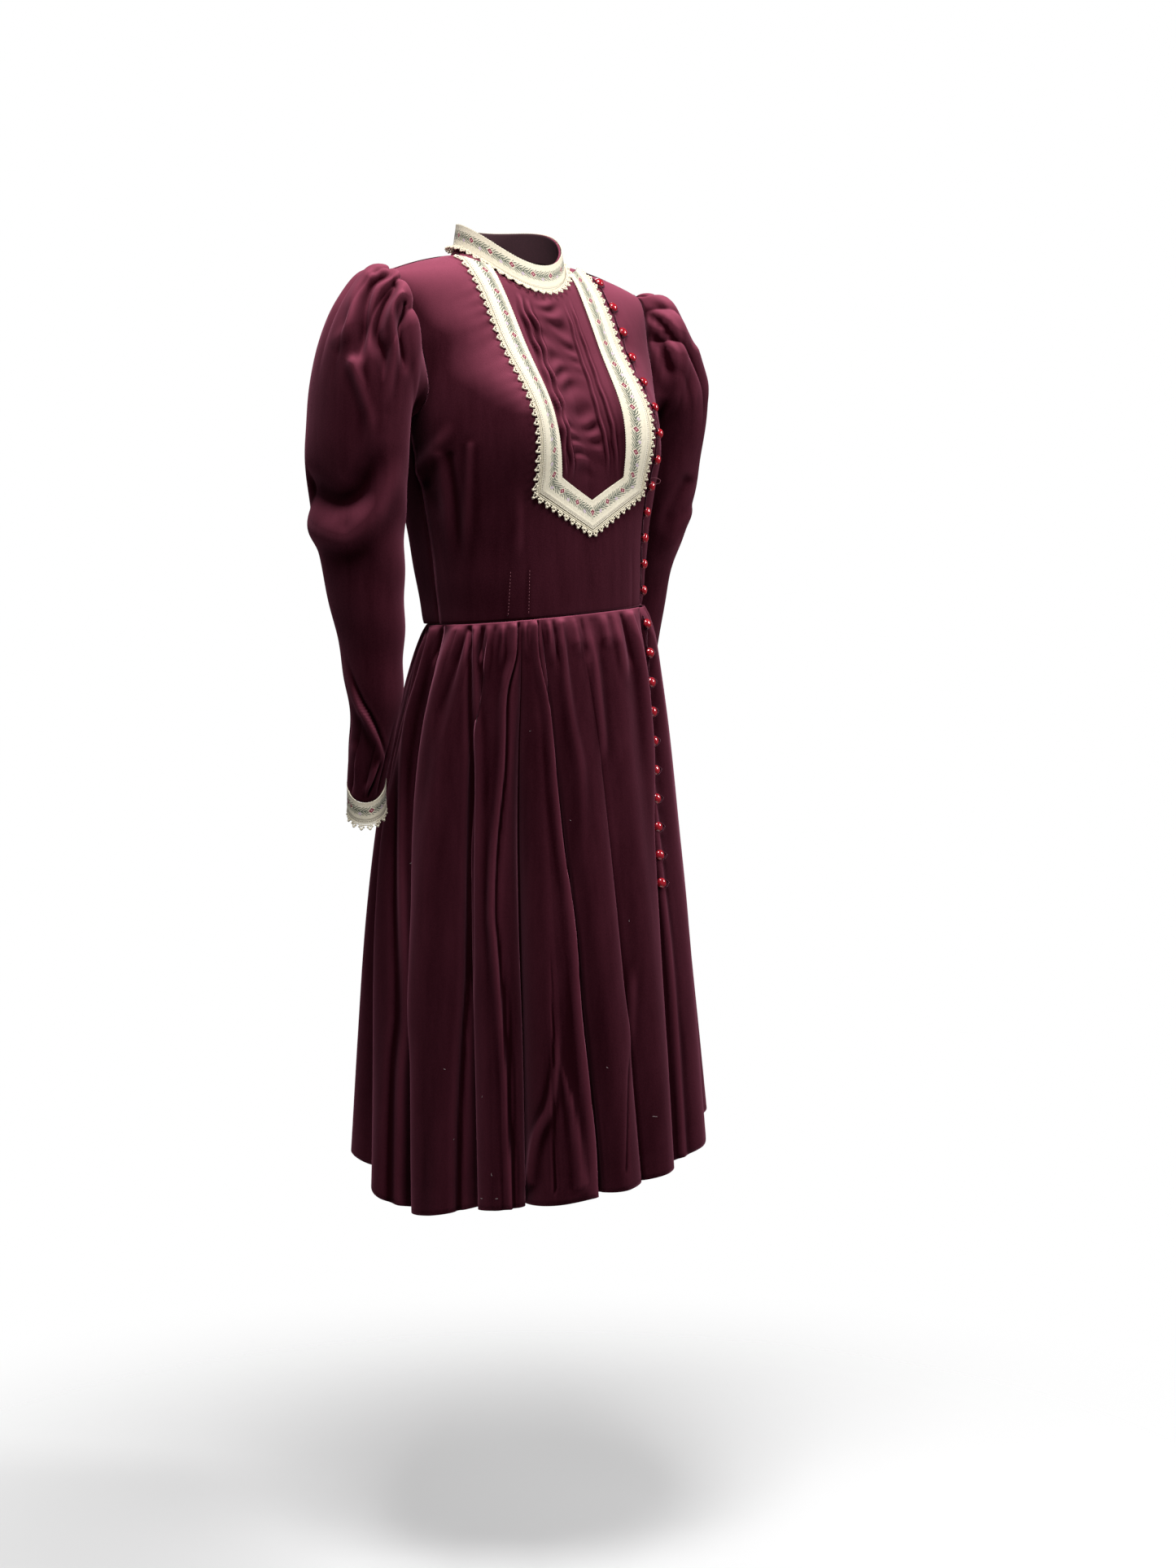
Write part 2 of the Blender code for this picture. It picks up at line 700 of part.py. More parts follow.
def sleeve_side(point, side):
    """A point of the left arm placed for side 1, or for side -1 mirrored on to the right arm."""
    x, y, z = point
    towards = CUFF_SLOPE_WAY[0] * (x - CUFF_CENTRE[0]) + CUFF_SLOPE_WAY[1] * (y - CUFF_CENTRE[1])
    down = min(max((CUFF_TOP_Z - z) / CUFF_HEIGHT, 0), 1)
    slope = CUFF_SLOPE + (CUFF_SLOPE_LOW - CUFF_SLOPE) * down
    z -= slope * towards * smooth_step((CUFF_SLOPE_TOP_Z - z) / CUFF_SLOPE_REACH)
    if side > 0:
        return np.array((x, y + read(LEFT_SLEEVE_BACK, z, 1), z))
    return np.array((-x, y, z))


def sleeve_ring(row, side):
    outer_x, outer_z, inner_x, inner_z, mid_y, half_y, gather = row
    middle = np.array(((outer_x + inner_x) / 2, mid_y, (outer_z + inner_z) / 2))
    reach = np.array((outer_x - inner_x, 0.0, outer_z - inner_z)) / 2
    points = []
    for i, angle in enumerate(sleeve_angles()):
        fold = 1 - gather / half_y * (1 if i % 3 == 0 else 0)
        square = 1 + 0.05 * math.sin(angle) ** 2 * math.cos(angle) ** 2
        point = middle + reach * math.cos(angle) * fold * square
        point[1] -= half_y * math.sin(angle) * fold * square
        points.append(sleeve_side(point, side))
    return points


def make_sleeve(name, side):
    """Sleeve from the armhole edge to the cuff; side is 1 for the wearer's left, -1 right."""
    edge = []
    for i, angle in enumerate(sleeve_angles()):
        point = armhole_point(angle)
        valley = ARMHOLE_GATHER if i % 3 == 0 else 0.0
        middle = np.array((point[0], *ARMHOLE_MIDDLE))
        point = point + unit(middle - point) * valley
        point[0] += ARMHOLE_GAP
        edge.append(point * np.array((side, 1, 1)))
    rings = [edge] + [sleeve_ring(row, side) for row in SLEEVE]
    points = np.array(rings)
    if side < 0:
        points = points[:, ::-1]
    normals = grid_normals(points, True)
    middle = points.mean(axis=1, keepdims=True)
    if np.sum(normals * (points - middle)) < 0:
        normals = -normals
    inner = points - normals * WALL
    wall(name, VELVET, points, inner, wrap=True)


def picot_reach(index):
    """Reach of a picot edge's points: each second one is a tooth."""
    return PICOT_REACH if index % 2 else PICOT_BAND


def cuff_ring(radius, z, side, count):
    ring = []
    for i in range(count):
        angle = 2 * math.pi * i / count
        x = radius * math.cos(angle)
        y = -radius * math.sin(angle)
        oval = CUFF_OVAL * (x * CUFF_SLOPE_WAY[0] + y * CUFF_SLOPE_WAY[1])
        x += CUFF_CENTRE[0] + oval * CUFF_SLOPE_WAY[0]
        y += CUFF_CENTRE[1] + oval * CUFF_SLOPE_WAY[1]
        ring.append(sleeve_side((x, y, z), side))
    return ring


def make_cuff(label, side):
    """Ribbon cuff, and the picot edge sewn round its lower end."""
    count = 2 * round(math.pi * CUFF_RADIUS / PICOT_PITCH)
    low = CUFF_TOP_Z - CUFF_HEIGHT
    heights = (CUFF_TOP_Z, low)
    outer = np.array([cuff_ring(CUFF_RADIUS, z, side, count) for z in heights])
    inner = np.array([cuff_ring(CUFF_RADIUS - CUFF_WALL, z, side, count) for z in heights])
    wall("cuff_ribbon_" + label, RIBBON, outer, inner, wrap=True)
    faces = []
    for radius in (CUFF_RADIUS, CUFF_RADIUS - RIBBON_WALL):
        top = cuff_ring(radius, low - SEAM_GAP, side, count)
        end = [(x, y, z - picot_reach(i)) for i, (x, y, z) in enumerate(top)]
        faces.append(np.array([top, end]))
    wall("cuff_picot_" + label, PICOT, faces[0], faces[1], wrap=True)


def collar_rings(offset, low, high, columns, end_angle):
    """Points of the stand collar at a distance outside its own wall, from low to high share."""
    grid = []
    for share in (low, high):
        ring = []
        for i in range(columns + 1):
            angle = -2 * math.pi + end_angle + (2 * math.pi - COLLAR_OPEN) * i / columns
            base = neck_point(angle)
            out = np.array((math.sin(angle), -math.cos(angle), 0.0))
            lean = -COLLAR_LEAN * share
            point = base + out * (offset + lean) + np.array((0, 0, COLLAR_LIFT))
            point[2] += COLLAR_HEIGHT * share
            ring.append(point)
        grid.append(ring)
    return np.array(grid)


def make_collar():
    end = math.radians(COLLAR_END_ANGLE)
    inner = collar_rings(-WALL, 0.0, 1.0, COLLAR_COLUMNS, end)
    outer = collar_rings(0.0, 0.0, 1.0, COLLAR_COLUMNS, end)
    wall("collar_band", VELVET, outer, inner)
    low, high = COLLAR_RIBBON_SHIFT, 1 + COLLAR_RIBBON_SHIFT
    inner = collar_rings(SEAM_GAP * 2, low, high, COLLAR_COLUMNS, end)
    outer = collar_rings(SEAM_GAP * 2 + RIBBON_WALL, low, high, COLLAR_COLUMNS, end)
    wall("collar_ribbon", RIBBON, outer, inner)
    length = (2 * math.pi - COLLAR_OPEN) * NECK_RADIUS_X
    teeth = 2 * round(length / PICOT_PITCH)
    grids = []
    for lift in (0.0, RIBBON_WALL):
        grid = collar_rings(SEAM_GAP * 4 + RIBBON_WALL, 0.0, 0.0, teeth, end)
        for i in range(teeth + 1):
            angle = -2 * math.pi + end + (2 * math.pi - COLLAR_OPEN) * i / teeth
            out = np.array((math.sin(angle), -math.cos(angle), 0.0))
            slope = PICOT_SLOPE + PICOT_SLOPE_CHANGE * math.cos(angle)
            way = unit(out - np.array((0, 0, slope)))
            above = unit(np.array((0, 0, 1)) + out * slope)
            rise = COLLAR_PICOT_RISE * math.sin(angle) ** 2
            grid[:, i] += above * lift + np.array((0, 0, rise))
            grid[0, i] += way * picot_reach(i)
        grids.append(grid)
    wall("collar_picot", PICOT, grids[1], grids[0])


def bib_path(offset):
    """The bib's line at a distance outside its inner edge, as x and z, from its right arm's top."""
    corner_x = read(BIB_INNER_HALF, BIB_INNER_CORNER_Z, 1)
    slope = (BIB_INNER_CORNER_Z - BIB_INNER_POINT_Z) / corner_x
    point_z = BIB_INNER_POINT_Z - offset * math.sqrt(1 + slope * slope)
    half = corner_x + offset
    corner_z = point_z + slope * half
    arm = []
    for i in range(BIB_ARM_STEPS + 1):
        share = i / BIB_ARM_STEPS
        top = BIB_TOP_Z + BIB_TOP_SLOPE * offset
        z = top + (corner_z - top) * share
        arm.append((read(BIB_INNER_HALF, z, 1) + offset, z))
    arm[-1] = (half, corner_z)
    foot = []
    for i in range(1, BIB_FOOT_STEPS + 1):
        share = i / BIB_FOOT_STEPS
        foot.append((half * (1 - share), corner_z + (point_z - corner_z) * share))
    right = [(-x, z) for x, z in arm + foot]
    left = [(x, z) for x, z in reversed(arm + foot[:-1])]
    return right + left


def on_front(x, z, lift):
    """A point at a distance above the bodice front."""
    return body_point(x, z, -1) + body_normal(x, z, -1) * lift


def resample(path, count):
    """A path as count even steps, with its own points no longer kept."""
    path = np.array(path)
    lengths = np.concatenate(([0], np.cumsum(np.linalg.norm(np.diff(path, axis=0), axis=1))))
    wanted = np.linspace(0, lengths[-1], count + 1)
    return np.stack([np.interp(wanted, lengths, path[:, k]) for k in range(path.shape[1])], 1)


def make_bib():
    under = []
    upper = []
    for i in range(BIB_ACROSS + 1):
        path = bib_path(RIBBON_WIDTH * i / BIB_ACROSS)
        under.append([on_front(x, z, RIBBON_LIFT) for x, z in path])
        upper.append([on_front(x, z, RIBBON_LIFT + RIBBON_WALL) for x, z in path])
    wall("bib_ribbon", RIBBON, np.array(upper), np.array(under))
    start = RIBBON_WIDTH + PICOT_GAP
    length = np.sum(np.linalg.norm(np.diff(np.array(bib_path(start)), axis=0), axis=1))
    teeth = 2 * round(length / PICOT_PITCH)
    base = resample(bib_path(start), teeth)
    edges = {True: resample(bib_path(start + PICOT_REACH), teeth)}
    edges[False] = resample(bib_path(start + PICOT_BAND), teeth)
    grids = []
    for lift in (RIBBON_LIFT + RIBBON_WALL, RIBBON_LIFT):
        first = [on_front(x, z, lift) for x, z in base]
        last = []
        for i in range(teeth + 1):
            x, z = edges[i % 2 == 1][i]
            last.append(on_front(x, z, lift))
        grids.append(np.array([first, last]))
    wall("bib_picot", PICOT, grids[0], grids[1])


def make_tucks():
    """Four soft ridges, each highest along its middle and fading out at both ends."""
    for number, (x, top) in enumerate(zip(TUCK_X, TUCK_TOP_Z), 1):
        under = []
        upper = []
        for i in range(TUCK_STEPS + 1):
            share = i / TUCK_STEPS
            z = top + (TUCK_BOTTOM_Z - top) * share
            wave = TUCK_WAVE * math.sin(17 * share + 2.1 * number) * (1 if x < 0 else 0.4)
            ends = min(share * 6, 1, (1 - share) * 4)
            height = TUCK_HEIGHT * math.sin(math.pi * ends / 2) + TUCK_EDGE
            across = [x + wave + TUCK_WIDTH * part for part in (-0.5, 0.0, 0.5)]
            lifts = [TUCK_EDGE, TUCK_EDGE + height, TUCK_EDGE]
            under.append([on_front(px, z, TUCK_LIFT) for px in across])
            upper.append([on_front(px, z, TUCK_LIFT + lift) for px, lift in zip(across, lifts)])
        wall("tuck_%d" % number, VELVET, np.array(upper), np.array(under))


def button_sites():
    """Each button's place on the left front: its seat, and the ways out, down and to the left."""
    sites = []
    for i in range(BODICE_BUTTONS):
        z = BODICE_BUTTON_TOP_Z - BODICE_BUTTON_PITCH * i
        x = closure_x(z)
        out = body_normal(x + BUTTON_OUT, z, -1)
        seat = body_point(x + BUTTON_OUT, z, -1) - out * LAP_SINK
        edge = body_point(x, z, -1) - out * LAP_SINK
        sites.append((seat, edge, out))
    return sites


def skirt_site(z):
    """A button's seat on the skirt's left front, the button edge beside it, and the way out."""
    here = skirt_point(SKIRT_EDGE, 0.0, z, 1)
    beside = skirt_point(SKIRT_EDGE, 0.06, z, 1)
    above = skirt_point(SKIRT_EDGE, 0.0, z + 0.01, 1)
    along = unit(beside - here)
    out = unit(np.cross(along, unit(above - here)))
    seat = here + along * BUTTON_OUT - out * LAP_SINK
    return seat, here - out * LAP_SINK, out


def make_button(name, seat, out):
    """A domed glass button on a short shank, turned once about the way it faces."""
    down = unit(np.array((0.0, 0.0, -1.0)) - out * -out[2])
    left = np.cross(out, down)
    profile = BUTTON_PROFILE
    mesh = bmesh.new()
    rings = []
    for radius, height in profile:
        ring = []
        for i in range(BUTTON_SIDES):
            angle = 2 * math.pi * i / BUTTON_SIDES
            spoke = down * math.cos(angle) + left * math.sin(angle)
            ring.append(mesh.verts.new(seat + out * height + spoke * radius))
        rings.append(ring)
    for low, high in zip(rings, rings[1:]):
        for i in range(BUTTON_SIDES):
            j = (i + 1) % BUTTON_SIDES
            mesh.faces.new((low[i], low[j], high[j], high[i]))
    mesh.faces.new(rings[0][::-1])
    mesh.faces.new(rings[-1])
    return finish(name, GLASS, mesh)


def make_loops(name, sites, tree):
    """One rouleau cord that runs down the button edge and out round each button."""
    centres = []
    for seat, edge, out in sites:
        down = unit(np.array((0.0, 0.0, -1.0)) - out * -out[2])
        side = unit(np.cross(down, out))
        if np.dot(side, seat - edge) < 0:
            side = -side
        start = edge + side * (LOOP_RADIUS + LOOP_ASIDE)
        for along, away in LOOP_SHAPE:
            place = settle(start - down * along + side * away, out, tree)
            centres.append((place + out * LOOP_LIFT, out))
    mesh = bmesh.new()
    rings = []
    for i, (centre, out) in enumerate(centres):
        ahead = centres[min(i + 1, len(centres) - 1)][0]
        behind = centres[max(i - 1, 0)][0]
        way = unit(ahead - behind)
        side = unit(np.cross(way, out))
        ring = []
        for turn in (90, 210, 330):
            spoke = out * math.sin(math.radians(turn)) + side * math.cos(math.radians(turn))
            ring.append(mesh.verts.new(centre + spoke * LOOP_RADIUS))
        rings.append(ring)
    for low, high in zip(rings, rings[1:]):
        for i in range(3):
            j = (i + 1) % 3
            mesh.faces.new((low[i], low[j], high[j], high[i]))
    mesh.faces.new(rings[0][::-1])
    mesh.faces.new(rings[-1])
    return finish(name, VELVET, mesh)


def make_closure(bodice_left, skirt_left):
    bodice = button_sites()
    skirt = [skirt_site(SKIRT_BUTTON_TOP_Z - SKIRT_BUTTON_PITCH * i) for i in range(SKIRT_BUTTONS)]
    number = 0
    for name, sites, tree in (("bodice", bodice, bodice_left), ("skirt", skirt, skirt_left)):
        for seat, _, out in sites:
            number += 1
            make_button("button_%02d" % number, settle(seat, out, tree), out)
        make_loops("loops_" + name, sites, tree)


def main():
    clear_scene()
    bodice_left = make_bodice()
    skirt_left = make_skirt()
    make_sleeve("sleeve_left", 1)
    make_sleeve("sleeve_right", -1)
    make_collar()
    make_bib()
    make_cuff("left", 1)
    make_cuff("right", -1)
    make_tucks()
    make_closure(bodice_left, skirt_left)


if __name__ == "__main__":
    main()
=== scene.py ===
"""Looks of the prairie dress: fine cloth shells, woven trims, glass buttons, camera and light.

Same frame as the solids, in metres: +Z up, front -Y, the wearer's left +X, origin at the
middle of the shoulders. The shape tables are those of the solids, sampled finer here.
"""
import math

import bpy
import numpy as np
from mathutils import Matrix, Vector


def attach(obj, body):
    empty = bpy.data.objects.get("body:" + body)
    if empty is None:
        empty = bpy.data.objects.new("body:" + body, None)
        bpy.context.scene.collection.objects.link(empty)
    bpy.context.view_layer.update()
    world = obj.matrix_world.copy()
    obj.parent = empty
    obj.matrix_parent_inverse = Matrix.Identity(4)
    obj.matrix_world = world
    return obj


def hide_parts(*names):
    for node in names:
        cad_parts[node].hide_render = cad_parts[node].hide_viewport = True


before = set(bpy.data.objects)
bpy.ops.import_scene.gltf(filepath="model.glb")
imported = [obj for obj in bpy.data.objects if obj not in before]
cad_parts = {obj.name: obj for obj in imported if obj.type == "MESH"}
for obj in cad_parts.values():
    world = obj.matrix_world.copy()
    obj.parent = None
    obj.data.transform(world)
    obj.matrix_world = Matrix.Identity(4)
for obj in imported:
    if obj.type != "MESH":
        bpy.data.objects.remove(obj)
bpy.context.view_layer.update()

WAIST_Z = -0.420
UNDERARM_Z = -0.205
HEM_Z = -1.048
SEAM_GAP = 0.0003
SHELL = 0.0018
HEM_RISE = 0.047
HEM_LOW_ANGLE = -50
HEM_RISE_LIMIT = 110
HEM_DROP = 0.020
HEM_DROP_ANGLE = -82
HEM_DROP_SPREAD = 20
WAIST_TILT = 0.09
WAIST_TILT_REACH = 0.15

# Bodice sections: height, half width, depth in front of the axis, depth behind it.
BODY = (
    (-0.420, 0.126, 0.112, 0.082),
    (-0.360, 0.133, 0.112, 0.091),
    (-0.300, 0.144, 0.111, 0.102),
    (-0.250, 0.156, 0.105, 0.110),
    (-0.205, 0.166, 0.090, 0.113),
    (-0.150, 0.170, 0.069, 0.114),
    (-0.100, 0.174, 0.050, 0.110),
    (-0.050, 0.184, 0.035, 0.100),
    (0.020, 0.205, 0.022, 0.085),
)
SECTION_POWER = 2.6
BUST_REACH = 0.033
BUST_X = 0.086
BUST_Z = -0.205
BUST_SPREAD_X = 0.050
BUST_SPREAD_Z = 0.068

NECK_Y = 0.029
NECK_RADIUS_X = 0.064
NECK_RADIUS_Y = 0.060
NECK_DROP_FRONT = 0.062
NECK_DROP_BACK = 0.010
SHOULDER = (0.178, 0.018, -0.046)
SHOULDER_CROWN = 0.004
SHOULDER_ROUND = 0.085
NECK_ROUND = 0.030
NECK_W = 0.5

# Armhole edge: share of the way up from the underarm, half width of the front, of the back.
ARMHOLE = (
    (0.00, 0.166, 0.166),
    (0.20, 0.162, 0.160),
    (0.45, 0.165, 0.158),
    (0.75, 0.171, 0.164),
    (1.00, 0.180, 0.180),
)

# Button edge of the wide front panel: height, distance to the wearer's left of the centre.
CLOSURE = (
    (-0.420, 0.085),
    (-0.330, 0.083),
    (-0.260, 0.088),
    (-0.200, 0.0925),
    (-0.110, 0.0960),
    (-0.050, 0.0955),
    (0.010, 0.092),
)
UNDERLAP = 0.016
LAP_SINK = 0.0026
LAP_REACH = 0.006
LAP_RISE = 0.022

# Bodice panels: the rows from the waist to the underarm, then to the top.
V = np.concatenate([np.linspace(0, 1, 84)[:-1], 1 + np.sin(np.linspace(0, 1, 67) * math.pi / 2)])
WAIST_TO_UNDERARM = UNDERARM_Z - WAIST_Z
PANEL_REACH = 0.25
# The share of a panel's half that the bib covers, the columns of the front right of it, over it and
# left of it, of the narrow front and of the back, and how often the back's upper rows are evened.
BIB_W = 0.34
FRONT_COLUMNS = (51, 128, 34)
LEFT_COLUMNS = 48
BACK_COLUMNS = 110
BACK_EASING = 60

# Darts of the wide front panel: x at the waist and lean. Stitches show beside the right ones.
DARTS = ((-0.0985, 0.02), (-0.080, 0.01), (0.066, -0.02))
DART_LENGTH = 0.075
DART_DEPTH = 0.0004
BACK_DART_X = 0.062
BACK_DART_TOP_Z = -0.270
BACK_DART_DEPTH = 0.0015
DART_STITCHED = 0.050
STITCH_PITCH = 0.0036
STITCH_LENGTH = 0.0024
STITCH_START = 0.006
STITCH_ASIDE = 0.0014
STITCH_OUT = 0.0003
STITCH_RADIUS = 0.00024

# Skirt sections at the crests of its folds: height, half width, half depth, fold depth, how far
# forward the middle lies, and the section's power, which is 2 for an ellipse.
SKIRT = (
    (-0.4203, 0.1260, 0.0970, 0.001, 0.015, 2.6),
    (-0.432, 0.1310, 0.1020, 0.003, 0.014, 2.6),
    (-0.455, 0.1390, 0.1110, 0.006, 0.012, 2.5),
    (-0.500, 0.1510, 0.1240, 0.010, 0.008, 2.3),
    (-0.570, 0.1680, 0.1400, 0.015, 0.003, 2.1),
    (-0.660, 0.1820, 0.1550, 0.021, 0.000, 2.0),
    (-0.770, 0.1920, 0.1690, 0.026, 0.000, 2.0),
    (-0.905, 0.1990, 0.1830, 0.031, 0.000, 2.0),
    (HEM_Z, 0.2070, 0.1950, 0.036, 0.000, 2.0),
)
# Valleys between the skirt's folds: angle at the waist and at the hem, depth, lean of its lip.
VALLEYS = (
    (-166, -164, 0.9, 0.3),
    (-140, -136, 0.9, -0.3),
    (-115, -108, 1.0, 0.3),
    (-92, -83, 0.9, -0.3),
    (-59, -55, 0.9, -0.5),
    (-37, -40, 1.0, 0.6),
    (-25, -15, 1.0, 0.7),
    (-6, 1, 0.35, 0.2),
    (38, 16, 0.5, 0.15),
    (60, 50, 0.6, -0.2),
    (84, 84, 0.9, 0.2),
    (110, 111, 0.9, -0.2),
    (138, 139, 1.0, 0.3),
    (166, 168, 0.9, -0.3),
)
FOLD_POWER = 0.75
LIP_LEAN = 5.0
LIP_SHARE = 0.38
SKIRT_RIGHT_SEAM = 3
SKIRT_EDGE = 8
SKIRT_EDGE_BEND = 0.35
SKIRT_LAP = 12
SKIRT_LAP_RISE = (4, 12)
SKIRT_LEFT_SEAM = 10
PER_FOLD = 36
SKIRT_ROWS = 140
ROW_BUNCHING = 1.35
WAIST_GATHERS = 42
GATHER_DEPTH = 0.0028
LONG_FOLD = 0.0022
HEM_STITCH_UP = 0.034
HEM_STITCH_DEPTH = 0.0003

# Sleeve: outer edge x and z, inner edge x and z, depth of its middle, half depth.
SLEEVE = (
    (0.190, -0.0415, 0.1745, -0.2110, 0.011, 0.059),
    (0.205, -0.0425, 0.1800, -0.219, 0.012, 0.066),
    (0.221, -0.058, 0.1810, -0.231, 0.014, 0.067),
    (0.242, -0.090, 0.1790, -0.246, 0.015, 0.068),
    (0.259, -0.136, 0.1770, -0.265, 0.016, 0.068),
    (0.2695, -0.203, 0.1750, -0.296, 0.018, 0.065),
    (0.267, -0.275, 0.1740, -0.340, 0.021, 0.059),
    (0.256, -0.350, 0.1750, -0.390, 0.015, 0.049),
    (0.246, -0.430, 0.1790, -0.450, 0.007, 0.0385),
    (0.2395, -0.493, 0.1860, -0.502, 0.000, 0.030),
    (0.2390, -0.593, 0.1975, -0.595, 0.009, 0.0212),
)
# The left sleeve hangs further back: height, how far.
LEFT_SLEEVE_BACK = (
    (-0.170, 0.000),
    (-0.240, 0.016),
    (-0.300, 0.020),
    (-0.370, 0.038),
    (-0.440, 0.057),
    (-0.495, 0.068),
    (-0.545, 0.066),
    (-0.620, 0.064),
)
SLEEVE_SQUARE = 0.05
SLEEVE_COLUMNS = 36
UNDERARM_SPACING = 2.2
UNDERARM_COLUMNS = 14
CUFF_TOP_Z = -0.5955
CUFF_HEIGHT = 0.0295
CUFF_RADIUS = 0.0212
CUFF_CENTRE = (0.218, 0.009)
CUFF_SLOPE = 0.90
CUFF_SLOPE_LOW = 0.65
CUFF_OVAL = 0.18
CUFF_COLUMNS = 200
CUFF_PICOT_IN = 0.0008
CUFF_SLOPE_WAY = (0.63, -0.78)
CUFF_SLOPE_TOP_Z = -0.440
CUFF_SLOPE_REACH = 0.140
AROUND = 180
SLEEVE_ROWS = 180
RING_STEP_LEAST = 0.012
CAP_FOLDS = 13
CAP_FOLD = 0.0045
WRIST_FOLDS = 8
WRIST_FOLD = 0.0028
ARM_WAVE = 0.0018
ARMHOLE_DIP = 0.0014
SEAM_TUCK = 0.0016
CUFF_TUCK = 0.008
CUFF_TUCK_SHARE = 0.12

COLLAR_COLUMNS = 200
COLLAR_ROWS = 16
COLLAR_RIBBON_COLUMNS = 420
COLLAR_HEIGHT = 0.028
COLLAR_LEAN = 0.004
COLLAR_END_ANGLE = 74
COLLAR_OPEN = 0.02
COLLAR_LIFT = 0.0028
COLLAR_TUCK = 0.0065
COLLAR_BAND_THICK = 0.0021
COLLAR_RIBBON_OUT = 0.0017
COLLAR_RIBBON_RISE = 0.04
COLLAR_PICOT_OUT = 0.0023
COLLAR_PICOT_RISE = 0.0045
PICOT_SLOPE = 0.48
PICOT_SLOPE_CHANGE = 0.32

RIBBON_WIDTH = 0.028
RIBBON_LIFT = 0.0011
RIBBON_THICK = 0.0009
RIBBON_TOP = RIBBON_LIFT + 0.0011
CUFF_THICK = 0.0016
BIB_INNER_HALF = ((-0.036, 0.0565), (-0.120, 0.0535), (-0.200, 0.0500), (-0.272, 0.0440))
BIB_INNER_CORNER_Z = -0.272
BIB_INNER_POINT_Z = -0.297
BIB_TOP_Z = -0.042
BIB_TOP_SLOPE = 0.40
BIB_REACH = 0.007
PICOT_PITCH = 0.0092
PICOT_REACH = 0.0088
PICOT_STEP = 0.0026
PICOT_OUT = 0.0006
PICOT_BANDS = (0.0006, 0.0023)
PICOT_BAND_RADIUS = 0.00058
PICOT_RADIUS = 0.00066
PICOT_SWAY = 0.0004
# Bars across the band: how far out and how high their two ends lie.
BAR_PITCH = 0.0017
BAR_RADIUS = 0.00030
BAR_ENDS = ((-0.0012, 0.0023), (0.0004, 0.0005))
# One picot: the points of its loop, aside and out, and its knots, aside, out and radius.
PICOT_LOOP = ((-0.0009, 0.0022), (-0.0022, 0.0034), (-0.0027, 0.0048), (-0.0016, 0.0056),
              (-0.0013, 0.0068), (0.0, 0.0080), (0.0013, 0.0068), (0.0016, 0.0056),
              (0.0027, 0.0048), (0.0022, 0.0034), (0.0009, 0.0022))
PICOT_KNOTS = ((-0.0026, 0.0046, 0.00125), (0.0026, 0.0046, 0.00125), (0.0, 0.0071, 0.00150),
               (0.0, 0.0037, 0.00110))

RIBBON_ROWS = np.array((0, 0.0006, 0.0014, 0.003, 0.006, 0.010, 0.014, 0.018, 0.0215, 0.0232, 0.0240,
                        0.0248, 0.0265, 0.0274, 0.028))
# The woven pattern, in metres along the ribbon and across it.
WEAVE_PITCH = (0.00062, 0.00050)
VINE_AT = 0.0125
VINE_PITCH = 0.0070
VINE_SWAY = 0.35
STEM_HALF = 0.00032
LEAF_SLANT = 1.25
LEAF_REACH = 0.0056
LEAF_HALF = (0.00140, 0.00065)
FLOWER_PITCH = 0.0256
FLOWER_SIZE = 0.0034
FLOWER_CLEAR = 0.0046
HEART_SIZE = 0.0012
BUD_ASIDE = 0.0036
BUD_SIZE = 0.0023
DASH_AT = 0.0262
DASH_HALF = 0.00034
DASH_PITCH = 0.0023
DASH_LENGTH = 0.00062
LINE_AT = 0.0228
LINE_HALF = 0.00016

SCALLOP = 0.0030
SCALLOP_DEPTH = 0.0009
SCALLOP_REACH = 0.003
RIDGE_AT = 0.0240
RIDGE_HEIGHT = 0.0004
RIDGE_HALF = 0.0006
BINDING_AT = 0.0009
BINDING_HEIGHT = 0.00025
RIBBON_MIDDLE = 0.014
BIB_STEPS = (280, 66)
BIB_EDGE_STEPS = (300, 80)

# How much of the light colour the velvet takes: from and to which value, and the shares there, by
# its grain, by how far its face turns up, which is painted light, and by how far it stands out as a
# fold, which is painted shade in grooves and a painted highlight on crests.
PILE_GRAIN = (0.36, 0.68, 0.0, 0.10)
PAINTED_TOP_LIGHT = (0.21, 0.76, 0.0, 0.85)
PAINTED_FOLD_SHADING = (0.30, 0.95, -0.06, 0.24)

TUCK_X = (-0.0385, -0.0275, 0.0255, 0.0365)
TUCK_TOP_Z = (-0.068, -0.074, -0.075, -0.070)
TUCK_BOTTOM_Z = -0.266
TUCK_WAVE = 0.0012
TUCK_HEIGHT = 0.0044
TUCK_GROOVE = 0.0018
# The tucks of the right pair and of the left pair: thickness, waviness, half width.
TUCK_RIGHT = (1.0, 1.1, 0.0027)
TUCK_LEFT = (0.45, 0.4, 0.0018)
TUCK_RIDGE_POWER = 2.6
# Where the puckers between the pairs fade out: half width, top and bottom.
PUCKER_REACH = (0.026, -0.060, -0.285)
PUCKER = 0.00085
DRAWN_PUCKER = 0.0007
FRONT_WAVE = 0.0009
BACK_WAVE = 0.0012

BODICE_BUTTONS = 13
BODICE_BUTTON_TOP_Z = -0.040
BODICE_BUTTON_PITCH = 0.0302
SKIRT_BUTTONS = 10
SKIRT_BUTTON_TOP_Z = -0.440
SKIRT_BUTTON_PITCH = 0.0318
# Steps along the skirt, in folds, and up it, that give its slope at a button.
EDGE_STEP = (0.06, 0.01)
BUTTON_OUT = 0.0066
BUTTON_SIDES = 28
BUTTON_TOP = 0.0083
BUTTON_TWIST = 0.9
